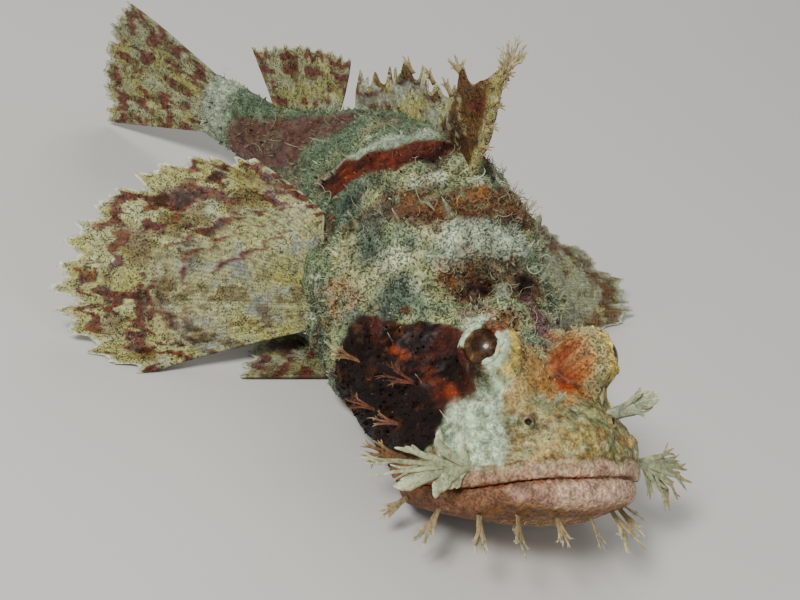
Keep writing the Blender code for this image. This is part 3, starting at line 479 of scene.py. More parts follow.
    # gill cover
    lay("straw", patch(f, (73, 27, 38), (7, 8, 7), 0.4), 0.8)
    lay("bone", patch(f, (72, 23, 45), (4.0, 5.5, 4.5), 0.4), 0.8)
    warm = patch(f, (76.5, 29.5, 31), (5.5, 5, 5.5), 0.5) * spots(3.2, 30, -0.5, 0.1)
    lay("rose", warm, 0.6)
    lay("orangeBrown", warm * spots(2.4, 31, -0.1, 0.3), 0.6)
    lay("teal", patch(f, (65, 22, 40), (5, 5, 6), 0.4), 0.75)
    lay("teal", patch(f, (77, 26, 44), (3.5, 4, 4), 0.5), 0.7)
    # painted shade in the gap at the gill cover's rear edge
    lay("umber", patch(f, (88, 25, 44), (3, 4, 6), 0.5) * spots(2.4, 70, -0.3, 0.1), 0.8)
    lay("teal", patch(f, (70, 29, 33), (4, 4, 6), 0.5) * spots(3.0, 32, -0.3, 0.2), 0.7)
    lay("teal", patch(f, (83, 22, 46), (6, 5, 7), 0.5), 0.65)
    # painted shade: a near-black spot at the gill cover's rear edge
    lay("nearBlack", patch(f, (85, 24, 46), (1.6, 2.2, 2.2), 0.5), 0.8)
    lay("rust", patch(p, (60.6, -21, 38), (1.0, 1.5, 1.5), 0.3), 0.9)
    # cheek: dark maroon below the eye, bounded above and behind by the gill cover
    cheek = fade(s, 26.5, 28) * fade(np.abs(y), 10, 13) * fade(z + 0.55 * (s - 49), 41.5, 40.2)
    cheek = cheek * fade(s, 69, 67) * fade(height, -9, -4)
    lay("maroon", cheek, 0.98, 0.3)
    lay("nearBlack", cheek * spots(8.0, 37, -0.35, 0.0), 0.93)
    # painted shade: the cheek darkens to near black towards the bottom
    lay("nearBlack", cheek * fade(z, 28, 17), 0.85)
    ridge = stripe(f, (28, 20, 34), (40, 23, 33), (61, 27, 30.7), width=1.7, soft=0.6)
    lay("orangeRed", cheek * ridge * spots(2.4, 39, -0.35, 0.3), 0.85)
    lay("rust", cheek * stripe(f, (56, 22, 35), (66, 25, 34), width=2.2, soft=0.5)
        * spots(2.0, 33, -0.2, 0.2), 0.5)
    lay("rust", cheek * spots(2.2, 40, 0.3, 0.5), 0.4)
    # snout
    snout = fade(s, 27, 24) * fade(height, 3, 6)
    lay("tan", snout, 0.95, 0.5)
    lay("straw", snout * spots(5.0, 45, -0.2, 0.3), 0.6)
    lay("olive", snout * patch(p, (9, 6, 41), (8, 11, 6), 0.4), 0.75)
    lay("sage", snout * spots(4.5, 46, 0.0, 0.35), 0.6)
    lay("umber", snout * fade(np.abs(cloud(place, 5.0, 55)), 0.06, 0.02), 0.5)
    lay("orangeBrown", snout * spots(2.6, 34, 0.2, 0.45), 0.6)
    lay("bone", snout * spots(2.2, 56, 0.25, 0.55), 0.6)
    lay("rose", snout * spots(4.0, 47, 0.3, 0.55), 0.4)
    lay("beige", patch(p, (27, -1, 45), (9, 8, 8), 0.35), 0.9, 0.5)
    lay("orangeBrown", patch(p, (27, -1, 45), (10, 8, 8), 0.3) * spots(2.5, 48, 0.1, 0.45), 0.6)
    lay("sage", patch(p, (36, -2, 46), (5, 8, 6), 0.4) * spots(3.0, 35, -0.3, 0.2), 0.7)
    lay("umber", patch(p, (15.7, -10.2, 39.9), (1.5, 1.3, 1.4)), 0.85)
    # mint white of the snout's side, up in front of the eye
    mint = np.maximum(patch(f, (19.5, 22, 32.5), (10.5, 7.5, 8.5), 0.25),
                      stripe(f, (30.5, 12.5, 47.5), (27.5, 14.8, 43.5), (25.5, 17, 40), (20, 20, 36),
                             width=3.4, soft=0.3))
    mint = mint * fade(height, 2.5, 5)
    lay("ash", mint * (y < 0), 0.95, 0.45)
    lay("mint", mint * (y < 0) * spots(3.4, 49, -0.75, -0.1), 0.95)
    lay("sage", mint * spots(2.0, 42, 0.1, 0.4), 0.5)
    lay("straw", mint * spots(1.6, 36, 0.15, 0.45), 0.4)
    lay("mint", patch(p, (46.5, -11, 44.5), (4.8, 3.6, 4.0), 0.4) * spots(2.2, 62, -0.5, 0.0), 0.9, 0.4)
    lay("rust", patch(p, (44, -3.2, 45.6), (4.6, 4.2, 4.0), 0.35), 0.9, 0.8)
    lay("umber", patch(p, (45.5, -2.5, 45.6), (4.0, 3.8, 4.0), 0.4) * spots(2.0, 63, -0.2, 0.2), 0.7)
    lay("orangeRed", patch(p, (40.5, -6.0, 47), (2.2, 2.2, 3.0), 0.5), 0.7)
    # ring round each eye
    for side in (1, -1):
        angle, reach = eyeAngle(p, side)
        ring = fade(reach, 12.5, 10.5) * fade(angle, 2.0, 1.6)
        turn = np.degrees(aroundEye(p, side))
        rim = fade(reach, 13.5, 12.0)
        if side < 0:
            lay("maroon", ring * fade(np.abs(turn + 128), 50, 44), 0.92)
            lay("bone", ring * fade(np.abs(turn - 132), 62, 54), 0.85)
            lay("mint", ring * fade(np.abs(turn - 130), 52, 44) * fade(angle, 1.45, 1.15)
                * spots(2.4, 57, -0.6, -0.1), 0.95, 0.3)
            lay("beige", ring * fade(np.abs(turn - 8), 66, 56), 0.9)
            lay("yellow", rim * fade(np.abs(turn + 10), 60, 50) * fade(angle, 1.85, 1.65), 0.96, 0.35)
            lay("orangeBrown", np.exp(-((angle - 1.75) / 0.09) ** 2) * fade(np.abs(turn + 10), 60, 50)
                * rim * spots(1.2, 68, 0.0, 0.3), 0.7)
            lay("mint", ring * fade(np.abs(turn + 18), 66, 58) * fade(angle, 1.30, 1.14)
                * spots(2.0, 58, -0.7, -0.2), 0.97, 0.25)
            lay("rust", ring * fade(np.abs(turn - 58), 30, 20) * fade(angle, 1.75, 1.5), 0.9, 0.8)
            lay("orangeRed", ring * fade(np.abs(turn - 38), 12, 6) * fade(angle, 1.3, 1.1), 0.7)
            lay("sage", ring * spots(1.6, 59, 0.15, 0.45), 0.45)
        else:
            lay("beige", rim * fade(y, 3.5, 5.5), 0.95, 0.75)
            lay("straw", rim * fade(y, 5.0, 8.0), 0.55)
            lay("orangeBrown", rim * fade(y, 3.5, 5.5) * spots(2.4, 38, 0.0, 0.4), 0.35)
            lay("straw", rim * fade(y, 6.5, 9.5) * spots(3.0, 67, -0.5, 0.1), 0.7)
            lay("orangeRed", rim * fade(y, 3.5, 5.0) * fade(y, 7.0, 5.0), 0.6)
            lay("yellow", rim * fade(y, 10, 13) * spots(2.4, 69, -0.4, 0.2), 0.6)
            lay("yellow", ring * fade(angle, 1.15, 0.95), 0.6, 0.6)
            lay("umber", ring * spots(2.0, 50, 0.2, 0.4), 0.5)
    lay("orangeRed", stripe(p, (31, 3.6, 46), (24, 2.0, 44), width=3.0, soft=0.5), 0.95, 0.3)
    lay("bandRed", stripe(p, (30, 2.2, 46), (25, 0.8, 44), width=0.9, soft=0.8), 0.7)
    # mouth: pale lip, pink jaw with a painted highlight along its top, painted shade turning it brown to the
    # right corner and under its rear, an orange flush underneath
    front = fade(s, 37, 33)
    lips = front * fade(height + 1.2 * cloud(place, 2.8, 65), 6.6, 4.8) * fade(height, -14, -10)
    lay("rose", lips, 0.9, 0.45)
    lay("lipPale", lips * spots(3.0, 60, -0.5, 0.3) * fade(y, -16, -6), 0.75)
    lay("pink", lips * fade(height, -0.5, -2.0) * fade(y, -12, 2), 0.7)
    lay("mauve", lips * fade(height, -0.5, -3) * spots(5.0, 43, -0.1, 0.35), 0.4)
    # painted highlight: a pale band along the lit top of the lower jaw, brightest towards the fish's left
    lay("lipPale", lips * fade(height, -0.8, -2.0) * fade(height, -6, -4) * fade(y, -6, 6), 0.45)
    lay("tan", lips * fade(np.sin(3.4 * y + 3 * cloud(place, 3.0, 54)), 0.1, 0.8), 0.3)
    lay("umber", lips * fade(np.sin(2.3 * y + 4 * cloud(place, 2.4, 64)), 0.6, 1.0), 0.14)
    lay("straw", lips * fade(height, 2.8, 5.0) * spots(2.6, 66, -0.3, 0.3), 0.6)
    # painted shade: rust darkening the jaw towards its right corner
    lay("rust", lips * fade(height, 0.8, -1.5) * fade(y, -6, -17) * spots(4.0, 41, -0.7, 0.0), 0.75)
    lay("orangeBrown", lips * fade(height, -6.5, -8.5) * spots(4.0, 53, -0.6, -0.1), 0.8)
    lay("umber", lips * fade(height, -7.0, -9.5), 0.6)
    lay("orangeRed", front * np.exp(-((height + 0.2) / 0.5) ** 2) * fade(y, 6, -4), 0.7)
    lay("rust", front * np.exp(-((height - 6.3) / 0.6) ** 2) * spots(3.0, 44, -0.4, 0.1), 0.7)
    lay("orangeBrown", fade(s, 46, 40) * fade(height, -9, -12) * fade(z, 22, 14), 0.9)
    # painted shade: rust over the rear of the jaw and maroon low under the head, down to the floor
    lay("rust", front * fade(s, 14, 24) * fade(height, 7, 3), 0.75)
    lay("maroon", fade(z, 9, 3) * fade(s, 10, 24) * fade(s, 66, 50), 0.8)
    lay("beige", fade(z, 5, 1) * fade(s, 60, 80), 0.7)
    grain = 0.38 * noise(place, 1.1, 51) + 0.28 * noise(place, 0.6, 52)
    # painted light and shade: the tint is paler on the raised lumps and crusts of the relief and darker in
    # the hollows between them
    grain = grain * (1 - 0.4 * lips) \
        + (0.38 * cloud(place, 2.4, 61) + 0.36 * cloud(place, 7.0, 62)) * (1 - 0.7 * lips)
    return tint * np.clip(1 + grain, 0.25, 1.9)[..., None], pepper


def addNode(tree, kind, settings=None, links=None, **values):
    # one shader node: settings are its fields, values its input sockets, links what feeds them
    node = tree.nodes.new(kind)
    for key, value in (settings or {}).items():
        setattr(node, key, value)
    for key, value in values.items():
        node.inputs[key.replace("_", " ")].default_value = value
    for key, source in (links or {}).items():
        tree.links.new(source, node.inputs[key])
    return node


def tintedMaterial(name, look):
    # the tint made in the mesh under dark specks of a real size, with a fine bump
    material = bpy.data.materials.new(name)
    material.use_nodes = True
    tree = material.node_tree
    tree.nodes.clear()
    place = addNode(tree, "ShaderNodeTexCoord").outputs["Object"]
    tint = addNode(tree, "ShaderNodeAttribute", {"attribute_name": "tint"})

    def ramp(source, low, high, start, end):
        node = addNode(tree, "ShaderNodeMapRange", None, {"Value": source})
        for socket, value in zip(("From Min", "From Max", "To Min", "To Max"), (low, high, start, end)):
            node.inputs[socket].default_value = value
        return node.outputs["Result"]

    def sums(kind, *sources):
        node = addNode(tree, "ShaderNodeMath", {"operation": kind})
        for socket, source in zip(node.inputs, sources):
            if isinstance(source, float):
                socket.default_value = source
            else:
                tree.links.new(source, socket)
        return node.outputs[0]

    def grains(size, detail):
        node = addNode(tree, "ShaderNodeTexNoise", None, {"Vector": place}, Scale=1 / (size * mm),
                       Detail=detail)
        return node.outputs["Fac"]

    specks = grains(look["speckMm"], 2.0)
    drifts = grains(6 * look["speckMm"], 2.0)
    dark = sums("ADD", specks, sums("MULTIPLY", drifts, 0.35))
    dark = ramp(dark, look["speckEdge"], look["speckEdge"] + 0.07, 1.0, 0.0)
    dark = sums("MULTIPLY", sums("MULTIPLY", dark, tint.outputs["Alpha"]), look["speckDark"])
    tone = ramp(grains(2.6 * look["speckMm"], 4.0), 0.3, 0.7, *look["toneSpan"])
    light = sums("MULTIPLY", tone, sums("SUBTRACT", 1.0, dark))
    shaded = addNode(tree, "ShaderNodeVectorMath", {"operation": "SCALE"},
                     {0: tint.outputs["Color"], "Scale": light})
    bump = addNode(tree, "ShaderNodeBump", None, {"Height": grains(look["bumpMm"], 4.0)},
                   Strength=look["bump"], Distance=look["bumpMm"] * mm * 0.5)
    shader = addNode(tree, "ShaderNodeBsdfPrincipled", None,
                     {"Base Color": shaded.outputs[0], "Normal": bump.outputs["Normal"]},
                     Roughness=look["roughness"], IOR=look["ior"], Metallic=0.0)
    fleshDepth = {"Subsurface Radius": (1.0, 0.45, 0.25), "Subsurface Scale": 0.0012}
    usual = {"Subsurface Weight": 0.0, "Coat Weight": 0.0, "Coat Roughness": 0.2, "Sheen Weight": 0.0,
             "Specular IOR Level": 0.5}
    named = dict(zip(usual, ("subsurface", "coat", "coatRoughness", "sheen", "specular")))
    for socket, value in usual.items():
        shader.inputs[socket].default_value = look.get(named[socket], value)
    for socket, value in fleshDepth.items():
        shader.inputs[socket].default_value = value
    addNode(tree, "ShaderNodeOutputMaterial", None, {"Surface": shader.outputs["BSDF"]})
    return material


# Wet fish skin under a film of mucus: a broad soft shine over a grained, peppered surface
wetSkin = tintedMaterial("wet scorpionfish skin", {
    "speckMm": 0.6, "speckEdge": 0.61, "speckDark": 0.9, "toneSpan": (0.65, 1.35), "bumpMm": 0.8, "bump": 0.8,
    "roughness": 0.55, "ior": 1.38, "subsurface": 0.05, "coat": 0.05, "coatRoughness": 0.3, "specular": 0.3})
# Skin filaments like a turf of algae: dull, a little light passes the thin tips
skinFuzz = tintedMaterial("skin filaments", {
    "speckMm": 1.0, "speckEdge": 0.55, "speckDark": 0.4, "toneSpan": (0.85, 1.15), "bumpMm": 0.5, "bump": 0.1,
    "roughness": 0.7, "ior": 1.38, "subsurface": 0.05, "specular": 0.12})
# Fin membrane over bony rays: thin, wet, finely netted with dark brown
finSkin = tintedMaterial("fin membrane", {
    "speckMm": 0.45, "speckEdge": 0.575, "speckDark": 0.85, "toneSpan": (0.65, 1.35),
    "bumpMm": 0.7, "bump": 0.5, "roughness": 0.5, "ior": 1.38, "subsurface": 0.06, "coat": 0.05,
    "coatRoughness": 0.3, "specular": 0.3})
# Soft skin flaps, pale and milky where they are thin
flapSkin = tintedMaterial("soft skin flaps", {
    "speckMm": 0.8, "speckEdge": 0.6, "speckDark": 0.55, "toneSpan": (0.75, 1.15), "bumpMm": 0.7, "bump": 0.4,
    "roughness": 0.45, "ior": 1.38, "subsurface": 0.25, "coat": 0.15})
# Bony points under thin skin
spineHorn = tintedMaterial("bony spine", {
    "speckMm": 0.8, "speckEdge": 0.6, "speckDark": 0.7, "toneSpan": (0.75, 1.15), "bumpMm": 0.5, "bump": 0.3,
    "roughness": 0.5, "ior": 1.5})


# The skin: one closed surface from lips to tail root
skinSizes = {
    "noseRows": 92, "headRows": 150, "trunkRows": 48, "tailRows": 44,
    "columns": 286,
    "coverStart": 48.0, "trunkEnd": 128.0,        # between these the rows lean with the gill cover
    "gapeCrowding": 0.62, "gapeReach": 0.36,      # columns gather at the mouth line
    "inset": -0.45,                               # the skin lies this far inside, under its coat
    "lump": 1.6, "lumpCell": 7.0, "crust": 0.55, "crustCell": 2.4, "grain": 0.22, "grainCell": 0.85,
}


def leaned(stations, u):
    # behind the cheek the rows lean so that one of them is the gill cover's rear edge
    edge = gillEdge(np.cos(u), np.sin(u) * 30)
    s = np.repeat(stations[:, None], len(u), 1)
    start, rear, behind = skinSizes["coverStart"], fish["headLength"], skinSizes["trunkEnd"]
    head = start + (s - start) * (edge - start) / (rear - start)
    trunk = behind + (s - behind) * (behind - edge) / (behind - rear)
    return np.where(s <= start, s, np.where(s <= rear, head, np.where(s < behind, trunk, s)))


def gapeAngle(s):
    # where round the section the mouth line runs, from the height of an ellipse there
    tall = np.where(gape(s) > middleLine(s), topLine(s) - middleLine(s), middleLine(s) - bottomLine(s))
    return np.arcsin(np.clip((gape(s) - middleLine(s)) / np.maximum(tall, 1), -0.85, 0.85))


def makeSkin():
    sizes = skinSizes
    nose = fish["noseLength"] * (1 - np.cos(np.radians(np.linspace(1.2, 84, sizes["noseRows"]))))
    marks = [nose[-1], fish["headLength"], sizes["trunkEnd"], fish["standardLength"]]
    counts = sizes["headRows"], sizes["trunkRows"], sizes["tailRows"]
    stations = np.concatenate([nose] + [np.linspace(start, end, count + 1)[1:]
                                        for start, end, count in zip(marks, marks[1:], counts)])
    u = np.linspace(0, 2 * np.pi, sizes["columns"], endpoint=False)
    s = leaned(stations, u)
    v = u[None, :] + 0 * s
    pull = sizes["gapeCrowding"] * fade(stations, 44, 34)[:, None]
    angle = gapeAngle(stations)[:, None]
    for middle in (angle, np.pi - angle):
        d = (v - middle + np.pi) % (2 * np.pi) - np.pi
        v = v - pull * d * np.exp(-(d / sizes["gapeReach"]) ** 2)
    straight = skinPoints(s, v, sizes["inset"])
    normal = gridNormals(straight)
    height = straight[..., 2] - gape(straight[..., 0])
    lips = fade(straight[..., 0], 38, 33) * fade(height, 5.5, 4) * fade(height, -16, -10)
    rough = sizes["crust"] * cloud(straight, sizes["crustCell"], 61) \
        + sizes["grain"] * noise(straight, sizes["grainCell"], 63)
    strong = 0.35 + 0.65 * fade(straight[..., 0], 38, 60) - 0.4 * fade(straight[..., 0], 100, 130)
    rough = rough + sizes["lump"] * cloud(straight, sizes["lumpCell"], 62) * strong
    streaks = 0.10 * np.sin(straight[..., 1] * 4.1 + 3 * noise(straight, 4.0, 65)) \
        + 0.16 * cloud(straight, 1.8, 66)
    onFloor = fade(straight[..., 2], 0.2, 2.5)
    for side in (1, -1):
        onFloor = onFloor * fade(eyeAngle(straight, side)[0], fish["lidAngle"], fish["lidAngle"] + 0.2)
    straight = straight + normal * ((rough * (1 - 0.8 * lips) + streaks * lips) * onFloor)[..., None]
    straight[..., 2] = np.maximum(straight[..., 2], fish["floorGap"])
    rows, columns = s.shape
    ends = np.stack([straight[0].mean(0), straight[-1].mean(0)])
    points = np.concatenate([straight.reshape(-1, 3), ends])
    caps = closingCaps(rows, columns)
    tint, pepper = skinTint(points)
    piece = makePiece("skin", bend(points), [gridFaces(rows, columns, True), caps], tint, wetSkin, pepper)
    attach(piece, "root")
    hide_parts("head", "lower_jaw", "trunk_front", "trunk_rear", "tail_stalk")
    return straight, v, pepper[:rows * columns].reshape(rows, columns)


def gridNormals(grid):
    # outward normals of a grid closed round its columns, from the steps to its neighbours
    along = np.gradient(grid, axis=0)
    around = np.roll(grid, -1, 1) - np.roll(grid, 1, 1)
    return unit(np.cross(around, along))


skinGrid, skinAngles, skinPepper = makeSkin()
skinOut = gridNormals(skinGrid)


# The coat: velvety stubble all over and longer curled wisps, each a thin closed tube rooted in the skin
coatSizes = {
    "stubble": {"pieces": 5, "count": 10500, "length": (0.22, 0.58), "radius": 0.165, "sides": 3, "steps": 2,
                "curl": 0.12, "turns": 0.3, "lean": 0.7, "dark": 0.46, "bone": (0.0, 0.3)},
    "papillae": {"pieces": 1, "count": 2200, "length": (0.5, 1.6), "radius": 0.36, "sides": 5, "steps": 3,
                 "curl": 0.10, "turns": 0.3, "lean": 0.5, "dark": 0.2, "bone": (0.0, 0.45)},
    "wisps": {"pieces": 1, "count": 1000, "length": (1.0, 3.2), "radius": 0.11, "sides": 4, "steps": 8,
              "curl": 0.20, "turns": 1.1, "lean": 0.8, "dark": 0.12, "bone": (0.35, 0.8)},
    "threads": {"pieces": 1, "count": 120, "length": (2.5, 6.0), "radius": 0.15, "sides": 5, "steps": 16,
                "curl": 0.22, "turns": 0.9, "lean": 0.7, "dark": 0.05, "bone": (0.5, 0.9)},
    "fringe": {"length": (0.6, 2.2), "radius": 0.15, "sides": 4, "steps": 7, "curl": 0.18, "turns": 1.0,
               "lean": 0.5, "dark": 0.1, "bone": (0.4, 0.9)},
}


def bareness(p):
    # 1 on lips, eyes and what lies on the floor, where nothing grows
    height = p[..., 2] - gape(p[..., 0])
    bare = fade(p[..., 0], 38, 33) * fade(height, 3.4, 2.2) * fade(height, -13, -9)
    bare = np.maximum(bare, fade(p[..., 2], 4, 1))
    for side in (1, -1):
        angle, reach = eyeAngle(p, side)
        bare = np.maximum(bare, fade(angle, fish["lidAngle"] + 0.16, fish["lidAngle"] + 0.08) * (reach < 9))
    return bare


def stubbleDensity(p):
    return (1 - bareness(p)) * (0.5 + 0.5 * fade(cloud(p, 5.0, 71), -0.5, 0.0)) \
        * (0.45 + 0.55 * fade(p[..., 0], 20, 55))


def papillaDensity(p):
    return (1 - bareness(p)) * (0.2 + fade(cloud(p, 7.0, 75), -0.1, 0.4)) * fade(p[..., 2], 5, 14) \
        * fade(p[..., 0], 10, 50)


def wispDensity(p):
    # in clumps, thickest on the nape and above the eyes, few on the trunk
    clumps = fade(cloud(p, 5.0, 73), 0.05, 0.45) + 0.06
    place = 0.35 + 1.3 * fade(p[..., 0], 48, 60) * fade(p[..., 0], 96, 84) \
        + 0.8 * mound(p, fish["eye"] + [6, 0, 5], 7)
    return (1 - bareness(p)) * clumps * place * fade(p[..., 2], 8, 20)


def threadDensity(p):
    # long curled threads on the nape, the gill cover's crest and along the dark bands
    f = folded(p)
    bands = stripe(f, (88, 3, 66), (97, 12, 61), (107, 20, 53), (118, 23, 42), width=5.5, soft=0.4)
    bands = bands + stripe(f, (85, 20, 50), (76, 12, 57), (73, 0, 61), width=7.0, soft=0.4)
    return (1 - bareness(p)) * (0.12 + bands + fade(p[..., 0], 50, 58) * fade(p[..., 0], 84, 76) * 0.4) \
        * fade(p[..., 2], 12, 26)


def scatter(count, rng, density):
    # points spread over the skin in proportion to area and density, with normals and two tangents
    grid, out = skinGrid, skinOut
    along = grid[1:] - grid[:-1]
    around = (np.roll(grid, -1, 1) - grid)[:-1]
    area = np.linalg.norm(np.cross(along, around), axis=-1)
    weight = (np.minimum(area, 1.5) * density(grid[:-1]) * (0.3 + 0.7 * skinPepper[:-1])).ravel()
    chosen = np.searchsorted(np.cumsum(weight), rng.random(count) * weight.sum())
    row, column = np.divmod(np.clip(chosen, 0, weight.size - 1), grid.shape[1])
    a, b = rng.random((2, count, 1))
    after = (column + 1) % grid.shape[1]
    spot = ((grid[row, column] * (1 - a) + grid[row + 1, column] * a) * (1 - b)
            + (grid[row, after] * (1 - a) + grid[row + 1, after] * a) * b)
    place = np.stack([spot[:, 0] / fish["standardLength"], (skinAngles[row, column] / (2 * np.pi)) % 1], -1)
    return spot, unit(out[row, column]), unit(grid[row + 1, column] - grid[row, column]), place


def tubes(paths, radii, sides, flat=None, flatness=1.0):
    # rings of a few sides round each path, closed at both ends; flat gives the thin way of the section
    count, steps = paths.shape[:2]
    along = unit(np.gradient(paths, axis=1))
    if flat is None:
        flat = unit(np.cross(along, [0.31, 0.52, 0.79]))
    flat = unit(flat - along * (flat * along).sum(-1, keepdims=True))
    across = np.cross(along, flat)
    turn = np.linspace(0, 2 * np.pi, sides, endpoint=False)
    ring = (np.cos(turn)[:, None] * across[:, :, None] * radii[..., None, None]
            + np.sin(turn)[:, None] * flat[:, :, None] * (radii * flatness)[..., None, None])
    points = (paths[:, :, None] + ring).reshape(count, -1, 3)
    points = np.concatenate([points, paths[:, :1], paths[:, -1:]], 1)
    caps = closingCaps(steps, sides)
    start = (np.arange(count) * (steps * sides + 2))[:, None, None]
    quads = (gridFaces(steps, sides, True)[None] + start).reshape(-1, 4)
    return points, quads, (caps[None] + start).reshape(-1, 3)


def growFilaments(name, sizes, rng, spot, normal, back, place, tint, pepper, straight=True):
    # each runs out from its root while it leans over and winds round its own way, thinner to the tip
    count = len(spot)
    side = np.cross(normal, back)
    length = rng.uniform(*sizes["length"], count) * (0.55 + 0.45 * fade(spot[:, 0], 26, 48) * straight)
    length = length[:, None, None]
    t = np.linspace(0, 1, sizes["steps"] + 1)[None, :, None]
    start = rng.uniform(0, 2 * np.pi, (count, 1, 1))
    lean = rng.uniform(0.1, 1.0, (count, 1, 1)) * sizes["lean"]
    over = np.cos(start) * back[:, None] + np.sin(start) * side[:, None] + 0.5 * back[:, None]
    turn = 2 * np.pi * sizes["turns"] * rng.uniform(0.3, 1.2, (count, 1, 1)) * t * np.where(start > 3, 1, -1)
    other = np.cross(normal[:, None], over)
    curl = sizes["curl"] * rng.uniform(0.5, 1.3, (count, 1, 1))
    path = normal[:, None] * t * (1 - 0.35 * lean * t) + over * lean * t ** 1.4
    path = path + curl * (over * np.sin(turn) + other * (1 - np.cos(turn)))
    path = spot[:, None] - normal[:, None] * 0.2 + length * path
    path[..., 2] = np.maximum(path[..., 2], 0.25)
    radii = sizes["radius"] * rng.uniform(0.7, 1.25, (count, 1)) * (1 - 0.75 * t[..., 0] ** 1.5)
    points, quads, triangles = tubes(path, radii, sizes["sides"])
    share = np.concatenate([np.repeat(t[0, :, 0], sizes["sides"]), [0, 1]])
    # few dark ones where the skin has few specks, few pale ones where it is dark
    light = np.where(rng.random(count) < sizes["dark"] * pepper, rng.uniform(0.12, 0.4, count),
                     rng.uniform(0.85, 1.5, count))
    pale = rng.uniform(*sizes["bone"], count) * (light > 0.5) * fade(tint.mean(-1), 0.005, 0.08)
    pale = np.maximum(pale, (rng.random(count) < 0.01) * 0.8)[:, None, None] * share[None, :, None]
    colour = tint[:, None] * light[:, None, None] * (1 - pale) + shades["bone"] * pale
    spread = np.concatenate([np.tile(np.linspace(-1, 1, sizes["sides"]), sizes["steps"] + 1), [0, 0]])
    uv = place[:, None] + 0.0015 * np.stack([spread, 2 * share - 1], -1)[None]
    points = points.reshape(-1, 3)
    piece = makePiece(name, bend(points) if straight else points, [quads, triangles], colour.reshape(-1, 3),
                      skinFuzz, 0.4, uv.reshape(-1, 2))
    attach(piece, "root")


def makeCoat(kind, seed, density):
    sizes = coatSizes[kind]
    for number in range(sizes["pieces"]):
        rng = np.random.default_rng(seed + number)
        spot, normal, back, place = scatter(sizes["count"], rng, density)
        growFilaments(f"{kind}_{number + 1}", sizes, rng, spot, normal, back, place, *skinTint(spot))


makeCoat("stubble", 101, stubbleDensity)
makeCoat("papillae", 151, papillaDensity)
makeCoat("wisps", 201, wispDensity)
makeCoat("threads", 251, threadDensity)


# Eyes: a dark ball with a golden brown mottled iris under a clear cornea
eyeSizes = {"rows": 60, "columns": 90, "pupil": 0.30, "iris": 0.80}
eyeShades = {"pupil": "#1c0e06", "iris": "#46290f", "gold": "#8a5e22", "rays": "#1d0e05", "rim": "#2a170a"}
# a cornea over a dark glossy ball: sharp small highlights
wetEye = tintedMaterial("wet eye", {
    "speckMm": 0.5, "speckEdge": 0.62, "speckDark": 0.6, "toneSpan": (0.7, 1.35), "bumpMm": 0.4, "bump": 0.03,
    "roughness": 0.4, "ior": 1.376, "coat": 0.4, "coatRoughness": 0.12, "specular": 0.3})


def makeEye(side):
    # a ball whose rows run from the middle of the pupil back, tinted by the angle from there
    tilt = np.linspace(0, np.pi, eyeSizes["rows"])[1:-1, None]
    turn = np.linspace(0, 2 * np.pi, eyeSizes["columns"], endpoint=False)[None]
    look = fish["look"] * [1, side, 1]
    across = unit(np.cross(look, [1, 0, 0]))
    other = np.cross(look, across)
    ball = (np.cos(tilt) + 0 * turn)[..., None] * look + (np.sin(tilt) * np.cos(turn))[..., None] * across \
        + (np.sin(tilt) * np.sin(turn))[..., None] * other
    ball = np.concatenate([ball.reshape(-1, 3), [look, -look]])
    angle = np.arccos(np.clip(ball @ look, -1, 1))
    around = np.arctan2(ball @ other, ball @ across)
    rays = noise(np.stack([np.cos(around) * 7, np.sin(around) * 7, angle * 4], -1), 1.0, 81)
    blotch = cloud(ball * 6, 2.4, 83)
    tone = {name: linear(value) for name, value in eyeShades.items()}
    tint = tone["iris"] + 0 * ball
    for name, mask in (("gold", fade(0.6 * rays + blotch, 0.0, 0.45) * 0.9),
                       ("rays", fade(rays - blotch, 0.2, 0.6) * 0.8),
                       ("gold", np.exp(-((angle - eyeSizes["pupil"] - 0.04) / 0.03) ** 2) * 0.25),
                       ("pupil", fade(angle, eyeSizes["pupil"] + 0.10, eyeSizes["pupil"] - 0.08) * 0.6),
                       ("rim", fade(angle, eyeSizes["iris"] - 0.14, eyeSizes["iris"]) * 0.85)):
        tint = tint * (1 - mask[:, None]) + tone[name] * mask[:, None]
    name = sideNames[side]
    rows, columns = eyeSizes["rows"] - 2, eyeSizes["columns"]
    piece = makePiece(f"eyeball_{name}", bend(eyeAt(side) + ball * fish["eyeRadius"]),
                      [gridFaces(rows, columns, True), closingCaps(rows, columns)], tint, wetEye, 0.7)
    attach(piece, "root")
    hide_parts(f"eye_{name}")


for side in (1, -1):
    makeEye(side)


# Fins: closed sheets with rays standing on both faces
finSizes = {
    "pectoral": {"rows": 110, "perGap": 12, "notch": 0.070, "ray": 0.42, "web": 0.26, "bow": 0.05,
                 "wave": 0.9, "fork": 0.02, "root": 1.0, "sweep": 5.5},
    "spiny": {"rows": 90, "perGap": 14, "notch": 0.24, "ray": 0.65, "web": 0.28, "bow": 0.0, "wave": 1.2,
              "fork": 0.0, "root": 2.7},
    "soft": {"rows": 50, "perGap": 10, "notch": 0.08, "ray": 0.45, "web": 0.26, "bow": 0.0, "wave": 0.4,
             "fork": 0.03, "root": 1.0},
    "tail": {"rows": 90, "perGap": 11, "notch": 0.06, "ray": 0.45, "web": 0.26, "bow": -0.05, "wave": 0.5,
             "fork": 0.025, "root": 1.0},
    "pelvic": {"rows": 60, "perGap": 10, "notch": 0.10, "ray": 0.5, "web": 0.26, "bow": 0.0, "wave": 0.0,
               "fork": 0.03, "root": 1.0},
}
rayCounts = {"soft": 10, "tail": 13, "anal": 8, "pectoral": 17, "pelvic": 6}
rayWidths = {"ray": 0.17, "notch": 0.20, "fork": 0.045}      # as shares of the gap between two rays
finFloor = 0.2
finPalette = {
    "olive": "#9f9a5a", "cream": "#adae82", "umber": "#573d20", "wine": "#63302a", "mauve": "#8a8f84",
    "dark": "#24160c", "rust": "#73481f", "crimson": "#5f1f1c", "white": "#d2d2bc", "ash": "#969b80",
}
finShades = {name: linear(value) for name, value in finPalette.items()}


